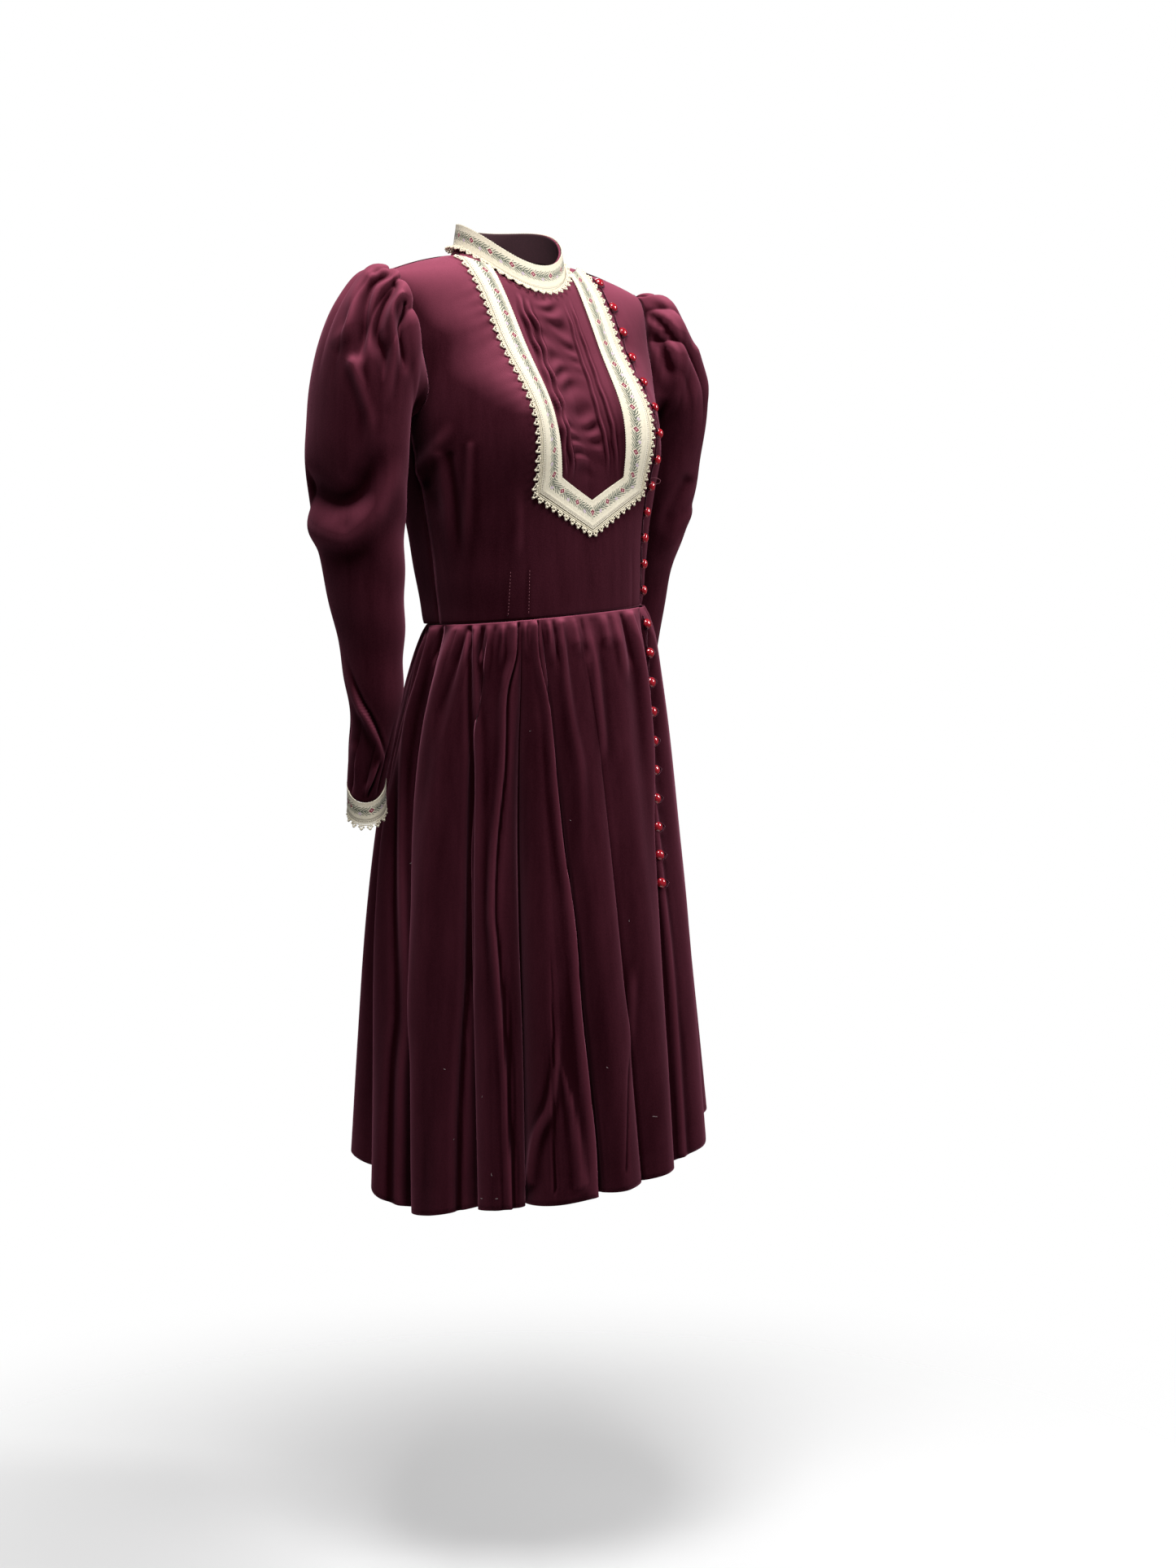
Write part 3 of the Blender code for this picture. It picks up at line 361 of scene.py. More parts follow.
# A button's outline: radius and height.
BUTTON_PROFILE = ((0.0012, 0.0), (0.0016, 0.0004), (0.0016, 0.0030), (0.0030, 0.0034), (0.0050, 0.0037),
                  (0.0057, 0.0042), (0.0058, 0.0047), (0.0056, 0.0053), (0.0050, 0.0062),
                  (0.0041, 0.0071), (0.0029, 0.0078), (0.0015, 0.0082))
FACETS = 7
FACET_DEPTH = 0.035
FACETS_FROM = 0.0046
FACETS_TO = 0.008
# A loop of the cord round a button: up the edge, and away from it.
LOOP_SHAPE = ((0.0100, 0.0), (0.0056, 0.0010), (0.0042, 0.0072), (0.0, 0.0122), (-0.0042, 0.0072),
              (-0.0056, 0.0010), (-0.0100, 0.0))
LOOP_ASIDE = 0.0054
LOOP_OUT = 0.0016
CORD_RADIUS = 0.00095

FLOOR_Z = -1.46
FLOOR_RADIUS = 1.15
FLOOR_SIDES = 96
FLOOR_SOLID = 0.30
FLOOR_COLOUR = (0.92, 0.92, 0.92)
ROOM_COLOUR = (1.0, 0.97, 0.98)
ROOM_LIGHT = 0.09

# The photo's camera: azimuth, distance from the Z axis, height, roll, focal length and the
# optical axis in pixels of the photo.
AZIMUTH = -39
DISTANCE = 2.9
EYE_Z = -0.457
ROLL = -0.45
FOCAL_PX = 3161
CENTRE_PX = (649, 795)
PHOTO = (1445, 1927)
SENSOR = 36

# Creases of the near side, each along a line of the photo's pixels: height, negative for a groove,
# half width in pixels at its start and at its end, then the points of the line. A lip is a fold
# that overhangs to one side.
SLEEVE_RIGHT_CREASES = (
    (-5.0, 5, 8, (480, 331), (457, 347), (447, 375), (442, 425), (438, 450)),
    (4.0, 6, 8, (455, 338), (437, 367), (428, 404), (408, 428)),
    (-5.5, 6, 11, (486, 346), (471, 376), (463, 408), (471, 438), (479, 500)),
    (4.0, 4, 7, (492, 362), (482, 383), (484, 421), (479, 467), (473, 509)),
    (-3.5, 3, 5, (499, 371), (493, 400), (496, 434), (498, 460)),
    (3.0, 7, 8, (434, 446), (448, 488), (455, 521), (450, 570)),
    (5.0, 18, 14, (377, 640), (398, 654), (431, 662), (458, 634), (477, 595), (496, 550)),
    (-5.5, 20, 14, (380, 600), (410, 616), (437, 609), (457, 575), (472, 535)),
    (1.8, 4, 4, (435, 905), (437, 930), (435, 965)),
)
SLEEVE_LEFT_CREASES = (
    (2.6, 4, 7, (774, 369), (795, 377), (818, 394), (848, 432)),
    (-2.8, 4, 6, (774, 379), (799, 386), (821, 406), (843, 442)),
    (2.4, 4, 6, (776, 389), (801, 398), (822, 421), (838, 458)),
    (-2.8, 4, 6, (778, 400), (800, 410), (816, 432), (828, 468)),
    (2.2, 4, 6, (781, 411), (799, 423), (811, 450), (818, 480)),
    (-2.0, 4, 6, (781, 424), (794, 438), (803, 470)),
    (1.8, 8, 12, (858, 430), (868, 460), (862, 505)),
    (2.6, 6, 10, (850, 628), (832, 650), (814, 690)),
    (-2.0, 8, 10, (846, 590), (828, 622), (812, 655)),
)
BODICE_CREASES = (
    (2.2, 12, 8, (514, 578), (534, 554), (556, 516)),
    (1.5, 6, 9, (540, 560), (549, 620), (556, 705)),
    (-1.1, 5, 7, (553, 560), (561, 620), (566, 700)),
    (1.3, 5, 8, (578, 548), (576, 620), (573, 700)),
    (-1.3, 10, 10, (514, 592), (528, 602), (542, 640)),
    (1.0, 7, 6, (636, 590), (638, 650), (634, 700)),
)
SKIRT_CREASES = (
    (3.2, 5, 8, (533, 764), (518, 826), (503, 883), (495, 944), (493, 1020), (495, 1112),
     (501, 1240), (494, 1320), (491, 1400), (488, 1500)),
    (-2.8, 5, 7, (524, 764), (508, 826), (493, 883), (485, 944), (482, 1020), (484, 1112),
     (488, 1240), (482, 1320), (480, 1500)),
    (2.2, 5, 9, (566, 755), (551, 810), (538, 856), (530, 902), (527, 960)),
    (-3.2, 3, 5, (577, 755), (578, 860), (580, 937), (579, 1020), (577, 1112), (576, 1200),
     (571, 1280), (566, 1380), (564, 1500)),
    (2.6, 4, 8, (582, 755), (586, 860), (589, 937), (588, 1020), (588, 1112), (588, 1240)),
    (2.4, 4, 9, (688, 750), (692, 787), (696, 845), (704, 895), (714, 952), (716, 1036), (713, 1090)),
    (1.8, 3, 6, (722, 750), (731, 806), (735, 856), (740, 914), (738, 950)),
    (1.6, 3, 5, (752, 746), (765, 803), (771, 845)),
    (1.7, 3, 5, (601, 752), (599, 800), (592, 840)),
    (1.5, 3, 4, (617, 752), (618, 790), (613, 825)),
    (1.5, 3, 4, (646, 750), (646, 785), (648, 815)),
    (1.6, 3, 4, (672, 750), (676, 785), (678, 820)),
    (1.5, 3, 4, (704, 748), (709, 780), (712, 810)),
    (1.4, 3, 4, (739, 746), (745, 775), (750, 800)),
    (-1.6, 2, 3, (545, 760), (538, 790), (531, 820)),
    (-1.6, 2, 3, (591, 752), (592, 790), (590, 815)),
    (-1.6, 2, 3, (679, 750), (684, 790), (688, 830)),
    (-1.6, 2, 3, (713, 748), (719, 785), (723, 820)),
    (-1.5, 2, 3, (762, 746), (774, 790), (780, 830)),
    (-1.2, 1.2, 1.4, (676, 1140), (680, 1260), (680, 1340), (682, 1460)),
    (2.6, 4, 6, (683, 1250), (683, 1304), (676, 1360), (661, 1395), (652, 1450)),
    (2.2, 3, 6, (686, 1290), (700, 1352), (708, 1400), (715, 1455)),
    (-0.9, 1.2, 1.4, (774, 1290), (772, 1340), (770, 1440)),
    (1.6, 6, 8, (778, 1180), (776, 1240), (772, 1320)),
    (2.6, 4, 4, (774, 750), (787, 822), (796, 914), (811, 1067), (817, 1120), (824, 1178),
     (833, 1289), (843, 1450)),
)
SLEEVE_RIGHT_LIPS = (
    (4.0, 5, 8, (418, 800), (441, 862), (452, 884), (464, 912), (472, 944)),
    (3.5, 5, 4, (466, 930), (461, 946), (456, 960), (450, 974), (449, 992)),
)
SKIRT_LIPS = (
    (3.0, 5, 6, (634, 752), (631, 805), (620, 856), (617, 944), (608, 1036), (605, 1116),
     (608, 1160), (614, 1240), (620, 1320), (624, 1400), (629, 1500)),
    (3.0, 4, 6, (658, 750), (660, 806), (671, 871), (681, 975), (689, 1047), (697, 1100),
     (704, 1160), (710, 1240), (718, 1320), (726, 1400), (731, 1480)),
)
CREASE_SCALE = 0.0016
CREASE_END = 0.38
# A crease that starts or ends at a seam or the hem keeps its full height there.
FREE_START_ROW = 770
FINE_START_ROW = 560
FINE_HEIGHT = 2
HEM_ROW = 1430
LIP_FALL = 0.55
LIP_GROOVE = 0.7
CREST_HEIGHT = 0.0024

# The loop of a loose thread at the button edge, in pixels of the photo.
LOOSE_THREAD = ((797, 588), (803, 588), (809, 591), (808, 595), (802, 596), (798, 594), (795, 598))
LOOSE_OUT = 0.002
LOOSE_RADIUS = 0.00028
# Specks of lint: a pixel of the photo and a length in millimetres.
LINT_AT = (
    (604, 1446, 3.0), (592, 1472, 2.2), (611, 1473, 2.4), (593, 1345, 2.0), (545, 1315, 1.8),
    (504, 1060, 3.2), (774, 1131, 2.0), (746, 1311, 1.8), (804, 1372, 5.5), (560, 1403, 1.6),
    (700, 1010, 1.6), (652, 900, 1.5),
)

LINT_RADIUS = 0.00018
LINT_OUT = 0.0004
LINT_BEND = 0.18
MILLIMETRE = 0.001

# Steps of a table once it is smoothed, and the tables smoothed so far.
DENSE_STEPS = 3000
DENSE = {}


def smooth_step(value):
    value = np.clip(value, 0.0, 1.0)
    return value * value * (3 - 2 * value)


def bump(value, centre, width):
    """A soft hill of height 1 at the centre."""
    return np.exp(-((value - centre) / width) ** 2)


def cubic(t, span, first, first_slope, second, second_slope):
    """A smooth curve from first to second with those slopes, at shares t of the span."""
    start = (2 * t ** 3 - 3 * t ** 2 + 1) * first + (t ** 3 - 2 * t ** 2 + t) * span * first_slope
    end = (3 * t ** 2 - 2 * t ** 3) * second + (t ** 3 - t ** 2) * span * second_slope
    return start + end


def read(table, key, column):
    """Values from a table sorted by its first column, on a smooth curve through its rows."""
    name = (id(table), column)
    if name not in DENSE:
        rows = sorted(table)
        keys = np.array([row[0] for row in rows])
        values = np.array([row[column] for row in rows])
        low = np.maximum(np.arange(len(keys)) - 1, 0)
        high = np.minimum(np.arange(len(keys)) + 1, len(keys) - 1)
        slopes = (values[high] - values[low]) / (keys[high] - keys[low])
        at = np.linspace(keys[0], keys[-1], DENSE_STEPS)
        i = np.clip(np.searchsorted(keys, at, side="right") - 1, 0, len(keys) - 2)
        span = keys[i + 1] - keys[i]
        t = (at - keys[i]) / span
        DENSE[name] = (at, cubic(t, span, values[i], slopes[i], values[i + 1], slopes[i + 1]))
    at, values = DENSE[name]
    return np.interp(key, at, values)


def unit(vectors):
    vectors = np.asarray(vectors, dtype=float)
    return vectors / np.maximum(np.linalg.norm(vectors, axis=-1, keepdims=True), 1e-12)


def ripple(along, across, seed, count, low, high):
    """Soft uneven waves between -1 and 1, the sum of count waves with frequencies low to high."""
    rng = np.random.default_rng(seed)
    total = 0
    for _ in range(count):
        size = rng.uniform(low, high)
        turn = rng.uniform(-0.25, 0.25)
        phase = rng.uniform(0, 2 * math.pi)
        total = total + np.cos(size * (along + turn * across) + phase)
    return total / math.sqrt(count) * 0.7


def neck_point(angle):
    """Points on the neckline, at angles in radians from the centre front to the left."""
    front = (1 + np.cos(angle)) / 2
    z = -NECK_DROP_FRONT * front ** 2.4 - NECK_DROP_BACK * (1 - front)
    x = NECK_RADIUS_X * np.sin(angle)
    y = NECK_Y - NECK_RADIUS_Y * np.cos(angle)
    return x, y, z


def top_line(x, side):
    """Depth and height of a panel's top line at x, and its rounding; side is -1 front, 1 back."""
    x = np.abs(x)
    _, side_y, side_z = neck_point(math.pi / 2)
    angle = np.arcsin(np.clip(x / NECK_RADIUS_X, 0, 1))
    _, neck_y, neck_z = neck_point(angle if side < 0 else math.pi - angle)
    mix = smooth_step(x / NECK_RADIUS_X)
    neck_round = NECK_ROUND + (SHOULDER_ROUND - NECK_ROUND) * mix
    share = (x - NECK_RADIUS_X) / (SHOULDER[0] - NECK_RADIUS_X)
    y = side_y + (SHOULDER[1] - side_y) * share
    z = side_z + (SHOULDER[2] - side_z) * share + SHOULDER_CROWN * np.sin(math.pi * share)
    inside = x < NECK_RADIUS_X
    return (
        np.where(inside, neck_y, y),
        np.where(inside, neck_z, z),
        np.where(inside, neck_round, SHOULDER_ROUND),
    )


def body_point(x, z, side):
    """Points of the bodice's outer surface at x and height z."""
    x, z = np.broadcast_arrays(np.asarray(x, dtype=float), np.asarray(z, dtype=float))
    half = read(BODY, z, 1)
    depth = read(BODY, z, 2 if side < 0 else 3)
    ratio = np.minimum(np.abs(x) / half, 1.0)
    section = side * depth * (1 - ratio ** SECTION_POWER) ** (1 / SECTION_POWER)
    if side < 0:
        across = (np.abs(x) - BUST_X) / BUST_SPREAD_X
        up = (z - BUST_Z) / BUST_SPREAD_Z
        section = section - BUST_REACH * np.exp(-across * across - up * up) * np.sqrt(1 - ratio ** 4)
    top_y, top_z, rounding = top_line(x, side)
    drop = np.clip((top_z - z) / rounding, 0.0, 1.0)
    share = np.sqrt(1 - (1 - drop) ** 2)
    return np.stack([x, top_y + (section - top_y) * share, z], -1)


def body_normal(x, z, side):
    step = 0.003
    across = body_point(x + step, z, side) - body_point(x - step, z, side)
    up = body_point(x, z + step, side) - body_point(x, z - step, side)
    return unit(np.cross(across, up)) * -side


def on_front(x, z, lift):
    """Points above the bodice's front, by lift."""
    return body_point(x, z, -1) + body_normal(x, z, -1) * np.asarray(lift)[..., None]


def panel_point(w, v, side):
    """Bodice points: w runs from -1 right side to 1 left side, v 0 waist, 1 underarm, 2 top."""
    w, v = np.broadcast_arrays(np.asarray(w, dtype=float), np.asarray(v, dtype=float))
    across = np.abs(w)
    low_z = WAIST_Z + SEAM_GAP / 2 + (UNDERARM_Z - WAIST_Z) * v
    low_x = read(BODY, low_z, 1) * np.sin(across * math.pi / 2)
    t = np.clip(v - 1, 0, 1)
    arm_x = read(ARMHOLE, t, 1 if side < 0 else 2)
    neck_x = NECK_RADIUS_X * np.sin(np.minimum(across / NECK_W, 1) * math.pi / 2)
    far_x = NECK_RADIUS_X + (SHOULDER[0] - NECK_RADIUS_X) * (across - NECK_W) / (1 - NECK_W)
    top_x = np.where(across <= NECK_W, neck_x, far_x)
    low = np.sin(across * math.pi / 2)
    high_x = arm_x * (low + (top_x / SHOULDER[0] - low) * t ** 1.3)
    high_z = UNDERARM_Z + (top_line(top_x, side)[1] - UNDERARM_Z) * t
    x = np.where(v <= 1, low_x, high_x) * np.sign(w)
    z = np.where(v <= 1, low_z, high_z)
    return body_point(x, z, side)


def armhole_point(angle):
    """Points on the left armhole, 0 at the shoulder, positive to the front."""
    t = (1 + np.cos(angle)) / 2
    z = UNDERARM_Z + (SHOULDER[2] - UNDERARM_Z) * t
    front = body_point(read(ARMHOLE, t, 1), z, -1)
    back = body_point(read(ARMHOLE, t, 2), z, 1)
    return np.where((np.sin(angle) >= 0)[..., None], front, back)


def grid_normals(points, wrap=False):
    if wrap:
        across = np.roll(points, -1, axis=1) - np.roll(points, 1, axis=1)
    else:
        across = np.gradient(points, axis=1)
    along = np.gradient(points, axis=0)
    return unit(np.cross(across, along))


def tilt(points):
    """The waist lies a little lower on the wearer's right."""
    points = np.array(points, dtype=float)
    near = np.exp(-((points[..., 2] - WAIST_Z) / WAIST_TILT_REACH) ** 2)
    points[..., 2] += WAIST_TILT * points[..., 0] * near
    return points


def on_photo(points):
    """The photo's pixel of each point, and the way from it to the camera."""
    turn = math.radians(AZIMUTH)
    eye = np.array((DISTANCE * math.sin(turn), -DISTANCE * math.cos(turn), EYE_Z))
    ray = points - eye
    depth = ray @ np.array((-math.sin(turn), math.cos(turn), 0))
    across = FOCAL_PX * (ray @ np.array((math.cos(turn), math.sin(turn), 0))) / depth
    down = -FOCAL_PX * ray[..., 2] / depth
    cos, sin = math.cos(math.radians(ROLL)), math.sin(math.radians(ROLL))
    x = CENTRE_PX[0] + across * cos - down * sin
    y = CENTRE_PX[1] + across * sin + down * cos
    return x, y, -unit(ray)


def smooth_path(points, steps):
    """A Catmull-Rom curve through points."""
    points = np.asarray(points, dtype=float)
    padded = np.concatenate([2 * points[:1] - points[1:2], points, 2 * points[-1:] - points[-2:-1]])
    out = []
    for i in range(len(points) - 1):
        a, b, c, d = padded[i:i + 4]
        t = np.linspace(0, 1, steps, endpoint=False)[:, None]
        out.append(0.5 * (2 * b + (c - a) * t + (2 * a - 5 * b + 4 * c - d) * t ** 2
                          + (3 * b - a - 3 * c + d) * t ** 3))
    return np.concatenate(out + [points[-1:]])


def crease_ends(along, height, first_row, last_row):
    """How a crease fades at its ends, where they lie free on the cloth."""
    fade = np.ones_like(along)
    if first_row > FREE_START_ROW or abs(height) < FINE_HEIGHT and first_row > FINE_START_ROW:
        fade = smooth_step(along / CREASE_END)
    if last_row < HEM_ROW:
        fade = fade * smooth_step((1 - along) / CREASE_END)
    return fade


def crease_lift(points, normals, creases, lips=()):
    """Height of the listed creases at each point that faces the photo's camera."""
    x, y, view = on_photo(tilt(points))
    facing = smooth_step((np.sum(normals * view, -1) + 0.05) / 0.25)
    total = np.zeros_like(x)
    for number, (height, start, end, *line) in enumerate((*creases, *lips)):
        path = smooth_path(line, 6)
        low, high = path.min(0) - 3 * max(start, end), path.max(0) + 3 * max(start, end)
        near = (x > low[0]) & (x < high[0]) & (y > low[1]) & (y < high[1]) & (facing > 0)
        if not near.any():
            continue
        spot = np.stack([x[near], y[near]], -1)
        a, way = path[:-1], np.diff(path, axis=0)
        length = np.sum(way * way, -1)
        t = np.clip(np.einsum("nmk,mk->nm", spot[:, None] - a, way) / length, 0, 1)
        gap = spot[:, None] - a - t[..., None] * way
        apart = np.hypot(gap[..., 0], gap[..., 1])
        i = np.argmin(apart, 1)
        rows = np.arange(len(i))
        apart = apart[rows, i]
        sign = np.sign(way[i, 1] * gap[rows, i, 0] - way[i, 0] * gap[rows, i, 1])
        along = (i + t[rows, i]) / len(way)
        width = start + (end - start) * along
        fade = crease_ends(along, height, line[0][1], line[-1][1])
        s = sign * apart / width
        shape = np.exp(-s * s)
        if number >= len(creases):
            shape = np.exp(-(s / np.where(s > 0, LIP_FALL, 1.0)) ** 2) - LIP_GROOVE * bump(s, 0.75, 0.4)
        total[near] += facing[near] * fade * shape * height * CREASE_SCALE
    return total


def grid_faces(rows, columns, wrap=False):
    last = columns if wrap else columns - 1
    r, c = np.meshgrid(np.arange(rows - 1), np.arange(last), indexing="ij")
    d = (c + 1) % columns
    low = r * columns
    high = low + columns
    return np.stack([low + c, low + d, high + d, high + c], -1).reshape(-1, 4)


def end_fans(rings, sides, turned=False):
    """Triangles from the first and the last ring of a tube to the two points that close it."""
    i = np.arange(sides)
    j = (i + 1) % sides
    count = rings * sides
    last = count - sides
    first = np.stack([j, i, np.full(sides, count)], -1)
    second = np.stack([last + i, last + j, np.full(sides, count + 1)], -1)
    if turned:
        return first[:, [1, 0, 2]], second[:, [1, 0, 2]]
    return first, second


def link(name, data):
    obj = bpy.data.objects.new(name, data)
    bpy.context.scene.collection.objects.link(obj)
    return obj


def new_object(name, vertices, faces, material, uv=None):
    """A mesh object; faces is a list of arrays of quads or triangles, uv one pair a vertex."""
    data = bpy.data.meshes.new(name)
    polygons = []
    for block in faces:
        polygons += np.asarray(block).tolist()
    data.from_pydata(np.asarray(vertices).reshape(-1, 3).tolist(), [], polygons)
    data.polygons.foreach_set("use_smooth", np.full(len(data.polygons), True))
    if uv is not None:
        corners = np.zeros(len(data.loops), dtype=np.int32)
        data.loops.foreach_get("vertex_index", corners)
        layer = data.uv_layers.new(name="UVMap")
        layer.data.foreach_set("uv", np.asarray(uv, dtype=float).reshape(-1, 2)[corners].ravel())
    data.materials.append(material)
    return link(name, data)


def crests(points, wrap):
    """How far points stand out from those beside them: 0 in a groove, 0.5 on flat cloth, 1 on a fold."""
    normals = grid_normals(points, wrap)
    rows = np.arange(points.shape[0])
    columns = np.arange(points.shape[1])
    total = np.zeros(points.shape[:2])
    for step in (1, 3):
        above = points[np.clip(rows - step, 0, rows[-1])]
        below = points[np.clip(rows + step, 0, rows[-1])]
        if wrap:
            sides = np.roll(points, step, axis=1) + np.roll(points, -step, axis=1)
        else:
            sides = points[:, np.clip(columns - step, 0, columns[-1])]
            sides = sides + points[:, np.clip(columns + step, 0, columns[-1])]
        total += np.sum((points - sides / 2) * normals, -1) / step
        total += np.sum((points - (above + below) / 2) * normals, -1) / step
    return 0.5 + 0.5 * np.tanh(total / CREST_HEIGHT)


def cloth(name, points, outside, inside, wrap=False, thick=SHELL, uv=None):
    """A thin shell whose outer face runs through a grid of points, with its own inner material."""
    points = tilt(points)
    rows, columns = points.shape[:2]
    obj = new_object(name, points, [grid_faces(rows, columns, wrap)], outside, uv)
    # Painted shade and highlight: how far each point stands out, which the velvet turns into darker grooves
    # and lighter folds.
    grain_and_painted_fold_shading = obj.data.attributes.new("grain_and_painted_fold_shading", "FLOAT", "POINT")
    grain_and_painted_fold_shading.data.foreach_set("value", crests(points, wrap).ravel())
    obj.data.materials.append(inside)
    solid = obj.modifiers.new("Wall", "SOLIDIFY")
    solid.thickness = thick
    solid.offset = -1
    solid.use_rim = True
    solid.material_offset = 1
    solid.material_offset_rim = 0
    return obj


class Soup:
    """Vertices and faces of many small pieces that make one mesh."""

    def __init__(self):
        self.vertices = []
        self.faces = []
        self.count = 0

    def add(self, vertices, *faces):
        vertices = np.asarray(vertices, dtype=float).reshape(-1, 3)
        self.faces += [block + self.count for block in faces]
        self.vertices.append(vertices)
        self.count += len(vertices)

    def tube(self, path, radius, sides=6, closed=False):
        """A cord along a path; radius is one number or one a point."""
        path = np.asarray(path, dtype=float)
        if closed:
            way = unit(np.roll(path, -1, axis=0) - np.roll(path, 1, axis=0))
        else:
            way = unit(np.gradient(path, axis=0))
        helper = np.where(np.abs(way[:, 2:3]) < 0.9, [[0.0, 0.0, 1.0]], [[1.0, 0.0, 0.0]])
        side = unit(np.cross(way, helper))
        up = np.cross(side, way)
        turn = np.arange(sides) * 2 * math.pi / sides
        spoke = side[:, None] * np.cos(turn)[None, :, None] + up[:, None] * np.sin(turn)[None, :, None]
        radius = np.broadcast_to(np.asarray(radius, dtype=float), (len(path),))
        rings = path[:, None] + spoke * radius[:, None, None]
        if closed:
            rings = np.concatenate([rings, rings[:1]])
        faces = grid_faces(len(rings), sides, True)
        if closed:
            self.add(rings, faces)
            return
        points = np.concatenate([rings.reshape(-1, 3), path[:1], path[-1:]])
        self.add(points, faces, *end_fans(len(rings), sides))

    def ball(self, centre, radius, rings=5, sides=7):
        theta = np.linspace(0, math.pi, rings + 1)[1:-1]
        phi = np.arange(sides) * 2 * math.pi / sides
        t, p = np.meshgrid(theta, phi, indexing="ij")
        shape = np.stack([np.sin(t) * np.cos(p), np.sin(t) * np.sin(p), np.cos(t)], -1)
        points = shape.reshape(-1, 3)
        points = np.concatenate([points, [[0, 0, 1], [0, 0, -1]]])
        self.add(centre + points * radius, grid_faces(rings - 1, sides, True)[:, ::-1],
                 *end_fans(rings - 1, sides, True))

    def build(self, name, material):
        return new_object(name, tilt(np.concatenate(self.vertices)), self.faces, material)


class Nodes:
    """Short calls for building one material's node tree."""

    def __init__(self, name):
        self.material = bpy.data.materials.new(name)
        self.material.use_nodes = True
        self.tree = self.material.node_tree
        self.shader = self.tree.nodes["Principled BSDF"]

    def add(self, kind, settings=None, **inputs):
        node = self.tree.nodes.new(kind)
        for key, value in (settings or {}).items():
            setattr(node, key, value)
        for key, value in inputs.items():
            self.put(node.inputs[int(key[1:])] if key[0] == "i" else node.inputs[key], value)
        return node

    def put(self, socket, value):
        if isinstance(value, bpy.types.NodeSocket):
            self.tree.links.new(value, socket)
        elif isinstance(value, bpy.types.Node):
            self.tree.links.new(value.outputs[0], socket)
        else:
            socket.default_value = value

    def math(self, operation, *values):
        node = self.tree.nodes.new("ShaderNodeMath")
        node.operation = operation
        for socket, value in zip(node.inputs, values):
            self.put(socket, value)
        return node.outputs[0]

    def plus(self, *values):
        return self.math("ADD", *values)

    def minus(self, *values):
        return self.math("SUBTRACT", *values)

    def times(self, *values):
        return self.math("MULTIPLY", *values)

    def size(self, value):
        return self.math("ABSOLUTE", value)

    def noise(self, coordinates, scale, detail=2.0, roughness=0.5, stretch=None):
        if stretch is not None:
            mapping = self.add("ShaderNodeMapping")
            self.put(mapping.inputs["Vector"], coordinates)
            mapping.inputs["Scale"].default_value = stretch
            coordinates = mapping.outputs[0]
        node = self.add("ShaderNodeTexNoise")
        self.put(node.inputs["Vector"], coordinates)
        node.inputs["Scale"].default_value = scale
        node.inputs["Detail"].default_value = detail
        node.inputs["Roughness"].default_value = roughness
        return node.outputs["Fac"]

    def ramp(self, value, low, high, to_low=0.0, to_high=1.0, kind="LINEAR"):
        node = self.add("ShaderNodeMapRange", {"interpolation_type": kind})
        for key, number in (("Value", value), ("From Min", low), ("From Max", high)):
            self.put(node.inputs[key], number)
        node.inputs["To Min"].default_value = to_low
        node.inputs["To Max"].default_value = to_high
        return node.outputs[0]

    def mix(self, share, first, second):
        node = self.add("ShaderNodeMix", {"data_type": "RGBA"})
        self.put(node.inputs[0], share)
        self.put(node.inputs[6], first)
        self.put(node.inputs[7], second)
        return node.outputs[2]

    def surface(self, values):
        """Sets the shader's own sockets."""
        for key, value in values.items():
            self.shader.inputs[key].default_value = value

    def bump(self, height, strength, distance):
        node = self.add("ShaderNodeBump")
        self.put(node.inputs["Height"], height)
        node.inputs["Strength"].default_value = strength
        node.inputs["Distance"].default_value = distance
        self.put(self.shader.inputs["Normal"], node.outputs[0])


def velvet(name, dark, light, sheen, tint, folded=True):
    """Cotton velvet: dark where it faces the eye, brighter at a glance by its sheen, with painted light on
    faces that turn up, painted highlights on folds and painted shade in grooves.
    """
    n = Nodes(name)
    place = n.add("ShaderNodeTexCoord").outputs["Object"]
    cloud = n.noise(place, 9, 2, 0.5, stretch=(1, 1, 0.5))
    streak = n.noise(place, 75, 3, 0.6, stretch=(1, 1, 0.16))
    speck = n.noise(place, 700, 1, 0.5)
    grain_and_painted_fold_shading = n.plus(n.times(cloud, 0.35), n.times(streak, 0.40))
    grain_and_painted_fold_shading = n.plus(grain_and_painted_fold_shading, n.times(speck, 0.25))
    share = n.ramp(grain_and_painted_fold_shading, *PILE_GRAIN)
    # Painted light: the base colour turns lighter where the face turns up, as if lit from above.
    split = n.add("ShaderNodeSeparateXYZ")
    n.put(split.inputs[0], n.add("ShaderNodeNewGeometry").outputs["Normal"])
    share = n.plus(share, n.ramp(split.outputs[2], *PAINTED_TOP_LIGHT))
    # Painted shade and highlight: darker in grooves and seams, lighter on the crests of folds.
    if folded:
        grain_and_painted_fold_shading = n.add("ShaderNodeAttribute", {"attribute_name": "grain_and_painted_fold_shading"}).outputs["Fac"]
        share = n.plus(share, n.ramp(grain_and_painted_fold_shading, *PAINTED_FOLD_SHADING))
    share = n.ramp(share, 0.0, 1.0)
    n.put(n.shader.inputs["Base Color"], n.mix(share, (*dark, 1), (*light, 1)))
    n.surface({"Roughness": 0.9, "Specular IOR Level": 0.0, "Sheen Weight": sheen,
               "Sheen Roughness": 0.42, "Sheen Tint": (*tint, 1)})
    n.bump(n.plus(n.times(speck, 0.6), streak), 0.30, 0.0008)
    return n.material


def plain(name, low, high, roughness, scale):
    """A material of two near colours, mixed by a fine noise."""
    n = Nodes(name)
    place = n.add("ShaderNodeTexCoord").outputs["Object"]
    grain = n.noise(place, scale, 2, 0.6)
    n.put(n.shader.inputs["Base Color"], n.mix(n.ramp(grain, 0.35, 0.65), (*low, 1), (*high, 1)))
    n.surface({"Roughness": roughness})
    n.bump(grain, 0.2, 0.0002)
    return n.material


